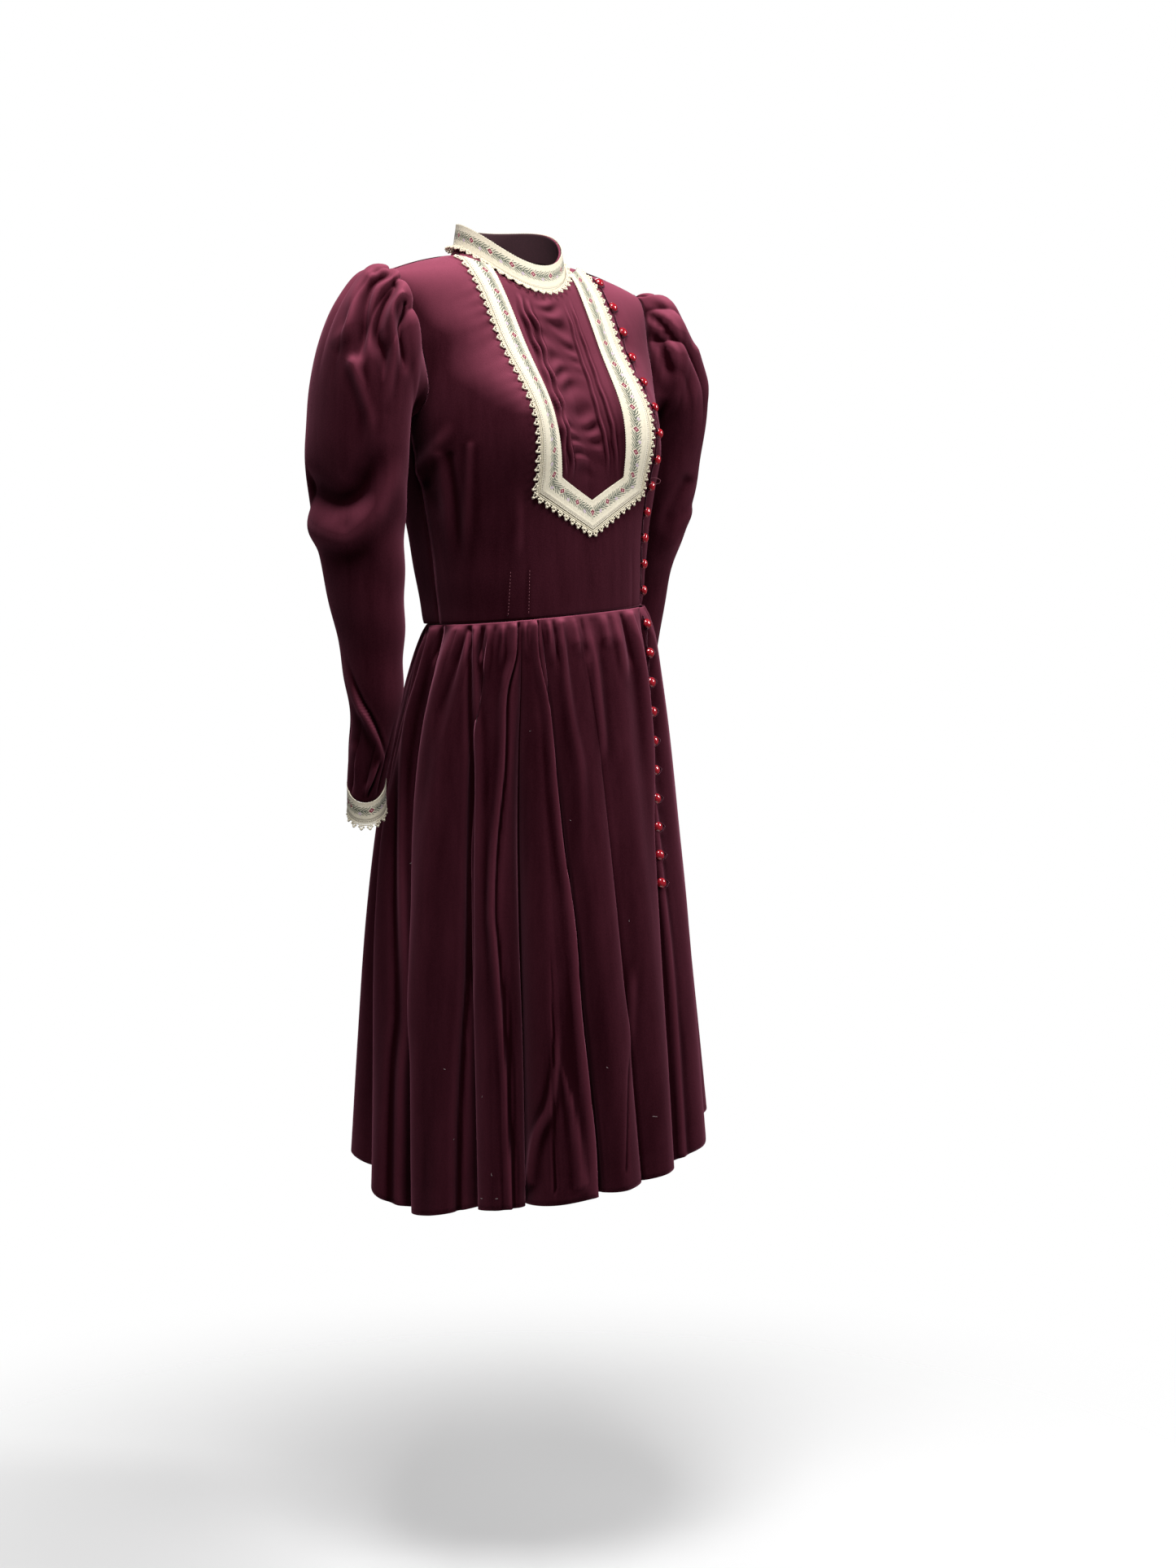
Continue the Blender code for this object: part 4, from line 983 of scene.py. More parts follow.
def glass():
    """Deep red moulded glass."""
    n = Nodes("button_glass")
    place = n.add("ShaderNodeTexCoord").outputs["Object"]
    swirl = n.noise(place, 260, 2, 0.5)
    colour = n.mix(n.ramp(swirl, 0.35, 0.65), (0.30, 0.006, 0.014, 1), (0.45, 0.012, 0.026, 1))
    n.put(n.shader.inputs["Base Color"], colour)
    n.surface({"Roughness": 0.09, "IOR": 1.52, "Coat Weight": 0.6, "Coat Roughness": 0.04})
    return n.material


def sewn(obj, slot, *nodes):
    """A piece that moves with the dress; the solids it stands for are hidden. slot is not used."""
    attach(obj, "root")
    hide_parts(*nodes)


def declare(obj, slot, nodes):
    """A cloth piece that moves with the dress; the solids it stands for are hidden."""
    sewn(obj, slot, *nodes)


def w_at(x, v):
    """The w at which the front panel's row v reaches x, found by halving."""
    low = np.zeros_like(v)
    high = np.ones_like(v)
    for _ in range(30):
        middle = (low + high) / 2
        less = panel_point(middle, v, -1)[..., 0] < x
        low = np.where(less, middle, low)
        high = np.where(less, high, middle)
    return (low + high) / 2


def closure_w(v, shift=0.0):
    z = np.where(v > 1, UNDERARM_Z - UNDERARM_Z * (v - 1), WAIST_Z + WAIST_TO_UNDERARM * v)
    return w_at(read(CLOSURE, z, 1) - shift, v)


# In the relief functions the heights are named, and the other numbers are the places, counts and
# phases of waves.
def bib_relief(x, z):
    """The four tucks inside the bib and the puckers between the two pairs."""
    lift = np.zeros_like(x)
    for number, (at, top) in enumerate(zip(TUCK_X, TUCK_TOP_Z), 1):
        thick, sway, half = TUCK_RIGHT if at < 0 else TUCK_LEFT
        share = (top - z) / (top - TUCK_BOTTOM_Z)
        wave = np.sin(17 * share + 2.1 * number) + 0.5 * np.sin(39 * share + number)
        fade = smooth_step(share * 7 + 0.2) * smooth_step((1 - share) * 4 + 0.25)
        swell = 1 + 0.22 * np.sin(41 * share + number) * thick
        across = (x - at - TUCK_WAVE * wave * sway) / half
        ridge = np.exp(-np.abs(across) ** TUCK_RIDGE_POWER)
        groove = bump(across, 1.75, 0.55) + 0.5 * bump(across, -1.7, 0.5)
        lift += fade * thick * (TUCK_HEIGHT * swell * ridge - TUCK_GROOVE * groove)
    half, top, bottom = PUCKER_REACH
    inside = smooth_step((half - np.abs(x + 0.001)) / 0.010)
    span = smooth_step((top - z) / 0.02) * smooth_step((z - bottom) / 0.03)
    phase = z * 330 + 1.7 * np.sin(x * 95 + z * 52) + 1.2 * np.sin(z * 83 - x * 40)
    share = 0.55 + 0.45 * np.sin(x * 140 + z * 61)
    lift += inside * span * PUCKER * np.sin(phase) * share
    return lift


def seam_dip(distance, width=0.0035, depth=0.0010):
    """A seam draws the cloth in on each side of it."""
    return -depth * np.exp(-distance / width)


def front_relief(points, w):
    """The wide front panel: bib, seams, darts, the puckers beside the bib and soft waves."""
    x, z = points[..., 0], points[..., 2]
    lift = bib_relief(x, z)
    lift += seam_dip((1 - np.abs(w)) * PANEL_REACH, depth=0.0006)
    lift += seam_dip(V[:, None] * WAIST_TO_UNDERARM, 0.005)
    for at, lean in DARTS:
        line = at + lean * (z - WAIST_Z)
        reach = smooth_step((WAIST_Z + DART_LENGTH - z) / 0.030)
        lift -= DART_DEPTH * reach * bump(x, line, 0.0030)
    away = np.abs(x) - read(BIB_INNER_HALF, z, 1) - RIBBON_WIDTH - 0.004
    high = smooth_step((z + 0.230) / 0.06) * smooth_step((-0.045 - z) / 0.03)
    drawn = np.exp(-np.clip(away, 0, 1) / 0.011) * smooth_step(away / 0.004)
    lift += DRAWN_PUCKER * high * drawn * np.sin(z * 430 + away * 190 + 1.4 * np.sin(z * 71))
    lift += FRONT_WAVE * ripple(z, x, 3, 5, 60, 150) * smooth_step((np.abs(x) - 0.092) / 0.02)
    return lift


def back_relief(points, w):
    """The back panel: its seams, two darts and soft waves."""
    x, z = points[..., 0], points[..., 2]
    lift = seam_dip((1 - np.abs(w)) * PANEL_REACH)
    lift += seam_dip(V[:, None] * WAIST_TO_UNDERARM, 0.005, 0.0012)
    for at in (-BACK_DART_X, BACK_DART_X):
        lift -= BACK_DART_DEPTH * smooth_step((BACK_DART_TOP_Z - z) / 0.06) * bump(x, at, 0.0024)
    return lift + BACK_WAVE * ripple(z, x, 23, 5, 40, 110)


def raised(points, normals, lift):
    return points + normals * lift[..., None]


def make_front(edge):
    """The wide front panel, up to the w of its button edge; gives its surface back."""
    right, over, left = FRONT_COLUMNS
    w = np.concatenate([np.linspace(-1, -BIB_W, right + 1)[:-1], np.linspace(-BIB_W, BIB_W, over)])
    w = np.broadcast_to(w, (len(V), right + over))
    beside = BIB_W + (edge[:, None] - BIB_W) * np.linspace(0, 1, left + 1)[1:]
    w = np.concatenate([w, beside], 1)
    points = panel_point(w, V[:, None], -1)
    normals = grid_normals(points)
    points = raised(points, normals, front_relief(points, w))
    points = raised(points, normals, crease_lift(points, normals, BODICE_CREASES))
    front = cloth("bodice_front_cloth", points, VELVET, INSIDE)
    declare(front, "velvet", ["bodice_front", "tuck_1", "tuck_2", "tuck_3", "tuck_4"])
    return points, normals


def make_left_front(start):
    """The narrow front panel, whose edge passes under the button edge."""
    w = start[:, None] + (1 - start[:, None]) * np.linspace(0, 1, LEFT_COLUMNS)
    points = panel_point(w, V[:, None], -1)
    x, z = points[..., 0], points[..., 2]
    lap = 1 - smooth_step((x - read(CLOSURE, z, 1) - LAP_REACH) / LAP_RISE)
    lift = -LAP_SINK * lap + seam_dip((1 - w) * PANEL_REACH)
    lift += seam_dip(V[:, None] * WAIST_TO_UNDERARM, 0.005, 0.0012)
    lift += FRONT_WAVE * ripple(z, x, 11, 5, 60, 150) * (1 - lap)
    left = cloth("bodice_left_cloth", raised(points, grid_normals(points), lift), VELVET, INSIDE)
    declare(left, "velvet", ["bodice_front_left"])


def make_back():
    w = np.broadcast_to(np.linspace(1, -1, BACK_COLUMNS), (len(V), BACK_COLUMNS))
    points = panel_point(w, V[:, None], 1)
    ease = smooth_step((V - 1.25) / 0.3) * smooth_step((2 - V) / 0.05)
    for _ in range(BACK_EASING):
        middle = (points[:, :-2] + points[:, 2:]) / 2
        points[:, 1:-1] += 0.5 * ease[:, None, None] * (middle - points[:, 1:-1])
    points = raised(points, grid_normals(points), back_relief(points, w))
    back = cloth("bodice_back_cloth", points, VELVET, INSIDE)
    declare(back, "velvet", ["bodice_back"])


def valley_angle(index, share):
    turns, i = divmod(index, len(VALLEYS))
    if i == SKIRT_EDGE:
        share = share ** SKIRT_EDGE_BEND
    return VALLEYS[i][0] + (VALLEYS[i][1] - VALLEYS[i][0]) * share + 360 * turns


def turn_apart(angle, other):
    """Degrees from other to angle, between -180 and 180."""
    return (angle - other + 180) % 360 - 180


def skirt_points(column, z):
    """Outer points of the skirt; column counts PER_FOLD steps from valley to valley."""
    column = np.asarray(column, dtype=float)
    z = np.asarray(z, dtype=float)
    fold = np.floor(column / PER_FOLD + 1e-9).astype(int)
    t = column / PER_FOLD - fold
    share = (WAIST_Z - z) / (WAIST_Z - HEM_Z)
    first, last = int(fold.min()), int(fold.max())
    angles = {k: valley_angle(k, share[:, 0]) for k in range(first, last + 2)}
    start = np.stack([angles[k] for k in fold[0]], 1)
    end = np.stack([angles[k + 1] for k in fold[0]], 1)
    table = np.array(VALLEYS)
    before = table[fold % len(VALLEYS)]
    after = table[(fold + 1) % len(VALLEYS)]
    angle = start + (end - start) * t
    ahead = np.maximum(after[..., 3], 0) * np.sin(math.pi * np.clip((t - 1) / LIP_SHARE + 1, 0, 1))
    behind = np.minimum(before[..., 3], 0) * np.sin(math.pi * np.clip(1 - t / LIP_SHARE, 0, 1))
    angle = angle + LIP_LEAN * (ahead + behind) * smooth_step(share * 1.3)
    half, depth, fold_depth, forward, power = (read(SKIRT, z, i) for i in range(1, 6))
    valley = before[..., 2] * (1 - t) + after[..., 2] * t
    lobe = np.maximum(np.sin(math.pi * t), 0) ** FOLD_POWER
    sunk = fold_depth * valley * (1 - lobe)
    turn = np.radians(angle)
    aside = np.minimum(np.abs(turn_apart(angle, HEM_LOW_ANGLE)), HEM_RISE_LIMIT)
    drop = HEM_DROP * bump(turn_apart(angle, HEM_DROP_ANGLE), 0, HEM_DROP_SPREAD)
    height = z + (HEM_RISE * (1 - np.cos(np.radians(aside))) - drop) * share ** 2
    sin, cos = np.sin(turn), np.cos(turn)
    way = unit(np.stack([depth * sin, -half * cos, np.zeros_like(sin)], -1))
    x = half * np.abs(sin) ** (2 / power) * np.sign(sin)
    y = -depth * np.abs(cos) ** (2 / power) * np.sign(cos) - forward
    places = np.stack([x, y, height + 0 * x], -1) - way * sunk[..., None]
    return places, angle, share + 0 * angle


def skirt_relief(angle, share):
    """Waist gathers, the long soft folds between, and the turned hem."""
    below = share * (WAIST_Z - HEM_Z)
    fade = smooth_step(below / 0.010) * (1 - smooth_step((below - 0.010) / 0.075))
    turn = np.radians(angle)
    gathers = np.abs(np.sin(turn * WAIST_GATHERS / 2 + 1.3 * np.sin(turn * 5)))
    long = ripple(turn, below * 2, 5, 6, 9, 26)
    front = smooth_step((np.cos(turn) - 0.2) / 0.5)
    lift = -GATHER_DEPTH * (1 - 0.45 * front) * fade * (1 - gathers) ** 1.5
    lift += LONG_FOLD * long * smooth_step(below / 0.04)
    lift += seam_dip(below, 0.006, 0.0016)
    lift -= HEM_STITCH_DEPTH * bump(below, WAIST_Z - HEM_Z - HEM_STITCH_UP, 0.0022)
    return lift


def make_skirt():
    right = SKIRT_RIGHT_SEAM * PER_FOLD
    edge = SKIRT_EDGE * PER_FOLD
    left = SKIRT_LEFT_SEAM * PER_FOLD
    turn = len(VALLEYS) * PER_FOLD
    rows = np.sin(np.linspace(0, 1, SKIRT_ROWS) * ROW_BUNCHING) / math.sin(ROW_BUNCHING)
    rows = HEM_Z + (WAIST_Z - SEAM_GAP - HEM_Z) * rows
    column, z = np.meshgrid(np.arange(right, right + turn + 1), rows)
    points, angle, share = skirt_points(column, z)
    normals = grid_normals(points)
    normals[:, [0, -1]] = unit(normals[:, 0] + normals[:, -1])[:, None]
    lift = skirt_relief(angle, share)
    lift += smooth_step(share / 0.012) * crease_lift(points, normals, SKIRT_CREASES, SKIRT_LIPS)
    lift[:, -1] = lift[:, 0]
    points = raised(points, normals, lift)
    panels = (("skirt_front_cloth", "skirt_front", right, edge, (0.52, 0.66), 0.30),
              ("skirt_left_cloth", "skirt_front_left", edge - SKIRT_LAP, left, (0.24, 0.66), 0.14),
              ("skirt_back_cloth", "skirt_back", left, right + turn, (0.72, 0.66), 0.42))
    for name, node, first, last, flat, area in panels:
        columns = slice(first - right, last - right + 1)
        own = points[:, columns]
        if node == "skirt_front_left":
            start, rise = SKIRT_LAP_RISE
            sink = 1 - smooth_step((np.arange(own.shape[1]) - SKIRT_LAP - start) / rise)
            own = own - normals[:, columns] * (LAP_SINK * sink)[None, :, None]
        declare(cloth(name, own, VELVET, INSIDE), "velvet", [node])
    return points, normals


def sleeve_angles():
    steps = []
    for i in range(SLEEVE_COLUMNS):
        under = abs(i - SLEEVE_COLUMNS / 2 + 0.5) <= UNDERARM_COLUMNS / 2
        steps.append(UNDERARM_SPACING if under else 1.0)
    around = np.concatenate(([0.0], np.cumsum(steps))) / sum(steps) * 2 * math.pi
    return np.interp(np.arange(AROUND) / AROUND * SLEEVE_COLUMNS, np.arange(SLEEVE_COLUMNS + 1), around)


def sleeve_side(points, side):
    x, y, z = points[..., 0], points[..., 1], points[..., 2]
    towards = CUFF_SLOPE_WAY[0] * (x - CUFF_CENTRE[0]) + CUFF_SLOPE_WAY[1] * (y - CUFF_CENTRE[1])
    down = np.clip((CUFF_TOP_Z - z) / CUFF_HEIGHT, 0, 1)
    slope = CUFF_SLOPE + (CUFF_SLOPE_LOW - CUFF_SLOPE) * down
    z = z - slope * towards * smooth_step((CUFF_SLOPE_TOP_Z - z) / CUFF_SLOPE_REACH)
    if side > 0:
        return np.stack([x, y + read(LEFT_SLEEVE_BACK, z, 1), z], -1)
    return np.stack([-x, y, z], -1)


def through(rings, count):
    """Rings of points on a smooth curve through key rings, count in all, about evenly apart."""
    rings = np.asarray(rings)
    middle = rings.mean(axis=1)
    steps = np.maximum(np.linalg.norm(np.diff(middle, axis=0), axis=1), RING_STEP_LEAST)
    at = np.concatenate(([0], np.cumsum(steps)))
    slopes = np.empty_like(rings)
    slopes[1:-1] = (rings[2:] - rings[:-2]) / (at[2:] - at[:-2])[:, None, None]
    slopes[0] = (rings[1] - rings[0]) / (at[1] - at[0])
    slopes[-1] = (rings[-1] - rings[-2]) / (at[-1] - at[-2])
    wanted = np.linspace(0, at[-1], count)
    i = np.clip(np.searchsorted(at, wanted, side="right") - 1, 0, len(rings) - 2)
    span = (at[i + 1] - at[i])[:, None, None]
    t = (wanted - at[i])[:, None, None] / span
    return cubic(t, span, rings[i], slopes[i], rings[i + 1], slopes[i + 1]), wanted / at[-1]


def make_sleeve(label, side):
    angles = sleeve_angles()
    first = armhole_point(angles)
    first[..., 0] -= SEAM_TUCK
    first = first * np.array((side, 1, 1))
    rings = [first]
    for outer_x, outer_z, inner_x, inner_z, mid_y, half_y in SLEEVE:
        middle = np.array(((outer_x + inner_x) / 2, mid_y, (outer_z + inner_z) / 2))
        reach = np.array((outer_x - inner_x, 0.0, outer_z - inner_z)) / 2
        square = 1 + SLEEVE_SQUARE * np.sin(angles) ** 2 * np.cos(angles) ** 2
        ring = middle + reach * (np.cos(angles) * square)[:, None]
        ring[:, 1] -= half_y * np.sin(angles) * square
        rings.append(sleeve_side(ring, side))
    inner = rings[-1] + (rings[-1].mean(axis=0) - rings[-1]) * CUFF_TUCK_SHARE
    rings.append(inner - np.array((0.0, 0.0, CUFF_TUCK)))
    points, along = through(rings, SLEEVE_ROWS)
    if side < 0:
        points = points[:, ::-1]
        angles = angles[::-1]
    normals = grid_normals(points, True)
    if np.sum(normals * (points - points.mean(axis=1, keepdims=True))) < 0:
        normals = -normals
    lift = sleeve_relief(angles[None, :], along[:, None], side)
    free = smooth_step(along / 0.022) * smooth_step((1 - along) / 0.05)
    creases = (SLEEVE_LEFT_CREASES,) if side > 0 else (SLEEVE_RIGHT_CREASES, SLEEVE_RIGHT_LIPS)
    lift += free[:, None] * crease_lift(points, normals, *creases)
    obj = cloth("sleeve_%s_cloth" % label, raised(points, normals, lift), VELVET, INSIDE, wrap=True)
    declare(obj, "velvet", ["sleeve_" + label])


def sleeve_relief(angle, along, side):
    """Cap folds that fan from the seam, creases at the elbow and folds above the wrist."""
    fold = np.abs(np.cos(angle * CAP_FOLDS / 2 + 0.5 * np.sin(angle * 3 + side)))
    cap = smooth_step(along / 0.02) * (1 - smooth_step((along - 0.06) / 0.22))
    over = smooth_step((np.cos(angle) + 0.35) / 0.7)
    lift = -CAP_FOLD * cap * over * (1 - fold) ** 1.4
    low = smooth_step((along - 0.80) / 0.12)
    wrist = np.abs(np.cos(angle * WRIST_FOLDS / 2 + 9 * along + side))
    lift -= WRIST_FOLD * low * (1 - wrist) ** 1.5 * smooth_step((1 - along) / 0.04)
    body = smooth_step((along - 0.2) / 0.2) * (1 - smooth_step((along - 0.85) / 0.1))
    lift += ARM_WAVE * body * ripple(along * 5.5, np.sin(angle), 31 + side, 6, 3, 9)
    return lift + seam_dip(along, 0.008, ARMHOLE_DIP)


def spot_on(surface, pixel):
    """The point of a cloth, and the way out of it, that shows at a pixel of the photo."""
    points, normals = surface
    x, y, view = on_photo(tilt(points))
    hidden = np.sum(normals * view, -1) < 0.05
    apart = np.hypot(x - pixel[0], y - pixel[1]) + 1e6 * hidden
    at = np.unravel_index(np.argmin(apart), apart.shape)
    return points[at], normals[at]


def make_lint(surface):
    """The few specks of lint that lie on the skirt."""
    soup = Soup()
    for number, (x, y, length) in enumerate(LINT_AT):
        place, out = spot_on(surface, (x, y))
        aside = unit(np.cross(out, np.array((math.cos(number), 0.3, math.sin(number)))))
        bend = unit(np.cross(out, aside))
        t = np.array((0.0, 0.35, 0.7, 1.0))[:, None]
        curl = aside * (t - 0.5) + bend * LINT_BEND * np.sin(3 * t + number)
        soup.tube(place + curl * length * MILLIMETRE + out * LINT_OUT, LINT_RADIUS, 5)
    obj = soup.build("lint_on_skirt", LINT)
    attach(obj, "root")


def make_threads(surface):
    """The stitches that show beside two darts, and a loose thread at the button edge."""
    soup = Soup()
    for at, lean in DARTS[:2]:
        for low in np.arange(STITCH_START, DART_STITCHED, STITCH_PITCH):
            z = WAIST_Z + low + np.array((0.0, STITCH_LENGTH))
            x = at + lean * (z - WAIST_Z) + STITCH_ASIDE
            soup.tube(on_front(x, z, np.full_like(x, STITCH_OUT)), STITCH_RADIUS, 5)
    turn = math.radians(AZIMUTH)
    place, out = spot_on(surface, LOOSE_THREAD[0])
    across = np.array(((math.cos(turn), math.sin(turn), 0.0), (0.0, 0.0, -1.0)))
    way = (np.array(LOOSE_THREAD) - LOOSE_THREAD[0]) @ across * DISTANCE / FOCAL_PX
    soup.tube(smooth_path(place + way + out * LOOSE_OUT, 5), LOOSE_RADIUS, 6)
    obj = soup.build("loose_threads", SEWING)
    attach(obj, "root")


def bib_corners(offset):
    """The bib's outline at a distance outside its inner edge: arm, corner and point."""
    corner_x = float(read(BIB_INNER_HALF, BIB_INNER_CORNER_Z, 1))
    slope = (BIB_INNER_CORNER_Z - BIB_INNER_POINT_Z) / corner_x
    point_z = BIB_INNER_POINT_Z - offset * math.sqrt(1 + slope * slope)
    half = corner_x + offset
    corner_z = point_z + slope * half
    top = BIB_TOP_Z + BIB_REACH + BIB_TOP_SLOPE * offset
    return top, half, corner_z, point_z


def bib_line(offset, arm_steps, foot_steps):
    """x and z along the bib at one offset, from the top of its right arm to that of its left."""
    top, half, corner_z, point_z = bib_corners(offset)
    z = top + (corner_z - top) * np.linspace(0, 1, arm_steps + 1)
    x = read(BIB_INNER_HALF, z, 1) + offset
    x[-1] = half
    share = np.linspace(0, 1, foot_steps + 1)[1:]
    x = np.concatenate([x, half * (1 - share)])
    z = np.concatenate([z, corner_z + (point_z - corner_z) * share])
    return np.concatenate([-x, x[:-1][::-1]]), np.concatenate([z, z[:-1][::-1]])


def line_lengths(x, z):
    return np.concatenate(([0], np.cumsum(np.hypot(np.diff(x), np.diff(z)))))


def scalloped(offset, along):
    """The ribbon's inner edge is a row of small scallops."""
    near = np.clip(1 - offset / SCALLOP_REACH, 0, 1)
    return offset + near * SCALLOP_DEPTH * (1 - np.abs(np.sin(math.pi * along / SCALLOP)))


def ribbon_height(offset):
    """A raised cord runs along the ribbon near its outer edge, and its inner edge is bound."""
    return (RIDGE_HEIGHT * bump(offset, RIDGE_AT, RIDGE_HALF)
            + BINDING_HEIGHT * bump(offset, BINDING_AT, RIDGE_HALF))


def ribbon_material(name):
    """Cream woven ribbon with a running vine: leaves in pairs and small diamond flowers."""
    n = Nodes(name)
    split = n.add("ShaderNodeSeparateXYZ")
    place = n.add("ShaderNodeTexCoord").outputs
    n.put(split.inputs[0], place["UV"])
    u, v = split.outputs[0], split.outputs[1]
    threads = [n.math("SINE", n.times(way, 2 * math.pi / pitch)) for way, pitch in zip((u, v), WEAVE_PITCH)]

    def apart(value, pitch, shift=0.0):
        """Distance to the nearest whole number of pitches."""
        return n.math("PINGPONG", n.plus(value, shift), pitch / 2)

    def below(value, limit, soft):
        return n.ramp(value, limit + soft, limit - soft)

    middle = n.minus(v, VINE_AT)
    zigzag = n.minus(apart(u, VINE_PITCH), VINE_PITCH / 4)
    from_stem = n.size(n.plus(middle, n.times(zigzag, VINE_SWAY)))
    stem = below(from_stem, STEM_HALF, 0.00012)
    leaf_wave = apart(n.minus(u, n.times(from_stem, LEAF_SLANT)), VINE_PITCH / 2)
    leaf_half = n.ramp(from_stem, 0.0002, LEAF_REACH, *LEAF_HALF)
    leaf = n.ramp(n.minus(leaf_wave, leaf_half), 0.0001, -0.0001)
    leaf = n.times(leaf, below(from_stem, LEAF_REACH, 0.0002))
    diamond = n.plus(apart(u, FLOWER_PITCH), n.size(n.plus(middle, 0.0002)))
    flower = below(diamond, FLOWER_SIZE, 0.00015)
    heart = below(diamond, HEART_SIZE, 0.00015)
    bud = n.plus(apart(u, FLOWER_PITCH, FLOWER_PITCH / 2), n.size(n.minus(middle, BUD_ASIDE)))
    bud = below(bud, BUD_SIZE, 0.00015)
    leaf = n.times(leaf, n.minus(1.0, below(diamond, FLOWER_CLEAR, 0.0002)))
    dash = n.times(below(n.size(n.minus(v, DASH_AT)), DASH_HALF, 0.0001),
                   below(apart(u, DASH_PITCH), DASH_LENGTH, 0.0001))
    line = below(n.size(n.minus(v, LINE_AT)), LINE_HALF, 0.0001)

    grain = n.noise(place["Object"], 700, 2, 0.6)
    colour = n.mix(n.ramp(grain, 0.3, 0.7), (0.68, 0.61, 0.46, 1), (0.80, 0.74, 0.59, 1))
    for mask, share, tone in ((line, 0.45, (0.52, 0.46, 0.34, 1)), (leaf, 0.92, (0.075, 0.095, 0.060, 1)),
                              (stem, 0.95, (0.075, 0.085, 0.065, 1)), (bud, 0.8, (0.60, 0.47, 0.58, 1)),
                              (flower, 1.0, (0.20, 0.014, 0.034, 1)), (heart, 1.0, (0.60, 0.30, 0.34, 1)),
                              (dash, 0.9, (0.06, 0.02, 0.03, 1))):
        colour = n.mix(n.times(mask, share), colour, tone)
    n.put(n.shader.inputs["Base Color"], colour)
    n.surface({"Roughness": 0.72, "Sheen Weight": 0.15})
    height = n.plus(n.times(leaf, 0.5), n.times(flower, 0.7))
    n.bump(n.plus(n.times(n.times(*threads), 0.35), height), 0.5, 0.00025)
    return n.material


def ribbon(node, points, along, across, thick):
    """A strip of the woven ribbon over a grid of points; along and across place the vine on it."""
    uv = np.stack(np.broadcast_arrays(along, across[:, None]), -1)
    if len(along) > points.shape[1]:
        points = np.concatenate([points, points[:, :1]], 1)
    obj = cloth(node + "_cloth", points, VINE, RIBBON_BACK, thick=thick, uv=uv)
    declare(obj, "woven_ribbon", [node])


def picot_edge(name, locate, length, node, closed=False):
    """Band, bars and three-lobed picots; locate gives a place from along, out and height."""
    soup = Soup()
    count = round(length / PICOT_STEP)
    s = np.linspace(0, length, count + 1)[: count if closed else None]
    for out in PICOT_BANDS:
        band = locate(s, np.full_like(s, out), np.full_like(s, PICOT_OUT))
        soup.tube(band, PICOT_BAND_RADIUS, 6, closed)
    bars = round(length / BAR_PITCH)
    for at in length * (np.arange(bars) + 0.5) / bars:
        soup.tube(locate(np.full(2, at), *np.array(BAR_ENDS)), BAR_RADIUS, 4)
    teeth = round(length / PICOT_PITCH)
    aside, out = np.array(PICOT_LOOP).T
    rng = np.random.default_rng(len(name))
    for at in length * (np.arange(teeth) + 0.5) / teeth:
        sway = rng.uniform(-PICOT_SWAY, PICOT_SWAY)
        lean = sway * out / out.max()
        soup.tube(locate(at + aside + lean, out, np.full_like(out, PICOT_OUT)), PICOT_RADIUS, 5)
        for knot_aside, knot_out, size in PICOT_KNOTS:
            spot = np.array([[at + knot_aside + sway], [knot_out], [PICOT_OUT]])
            soup.ball(locate(*spot)[0], size)
    obj = soup.build(name, PICOT)
    sewn(obj, "cotton_picot", node)


def make_bib():
    along = line_lengths(*bib_line(RIBBON_MIDDLE, *BIB_STEPS))
    along = along - along[len(along) // 2]
    rows = []
    for offset in RIBBON_ROWS:
        line = np.array(bib_line(offset, *BIB_STEPS))
        inward = np.array(bib_line(offset + MILLIMETRE, *BIB_STEPS)) - line
        x, z = line + inward * (scalloped(offset, along) - offset) / MILLIMETRE
        rows.append(on_front(x, z, np.full_like(x, RIBBON_TOP + ribbon_height(offset))))
    points = np.array(rows)[:, ::-1]
    ribbon("bib_ribbon", points, along[::-1], RIBBON_ROWS, RIBBON_THICK)

    start = RIBBON_WIDTH + MILLIMETRE
    base = bib_line(start, *BIB_EDGE_STEPS)
    edge = bib_line(start + PICOT_REACH, *BIB_EDGE_STEPS)
    base_share = line_lengths(*base)
    length = base_share[-1]
    base_share = base_share / length
    edge_share = line_lengths(*edge)
    edge_share = edge_share / edge_share[-1]

    def locate(s, out, height):
        share = np.clip(s / length, 0, 1)
        near = [np.interp(share, base_share, part) for part in base]
        far = [np.interp(share, edge_share, part) for part in edge]
        x, z = (a + (b - a) * out / PICOT_REACH for a, b in zip(near, far))
        return on_front(x, z, RIBBON_LIFT + height)

    picot_edge("bib_picot_edge", locate, length, "bib_picot")


def collar_ring(angle, offset, share):
    x, y, z = neck_point(angle)
    out_x, out_y = np.sin(angle), -np.cos(angle)
    away = offset - COLLAR_LEAN * share
    return np.stack([x + out_x * away, y + out_y * away, z + COLLAR_LIFT + COLLAR_HEIGHT * share], -1)


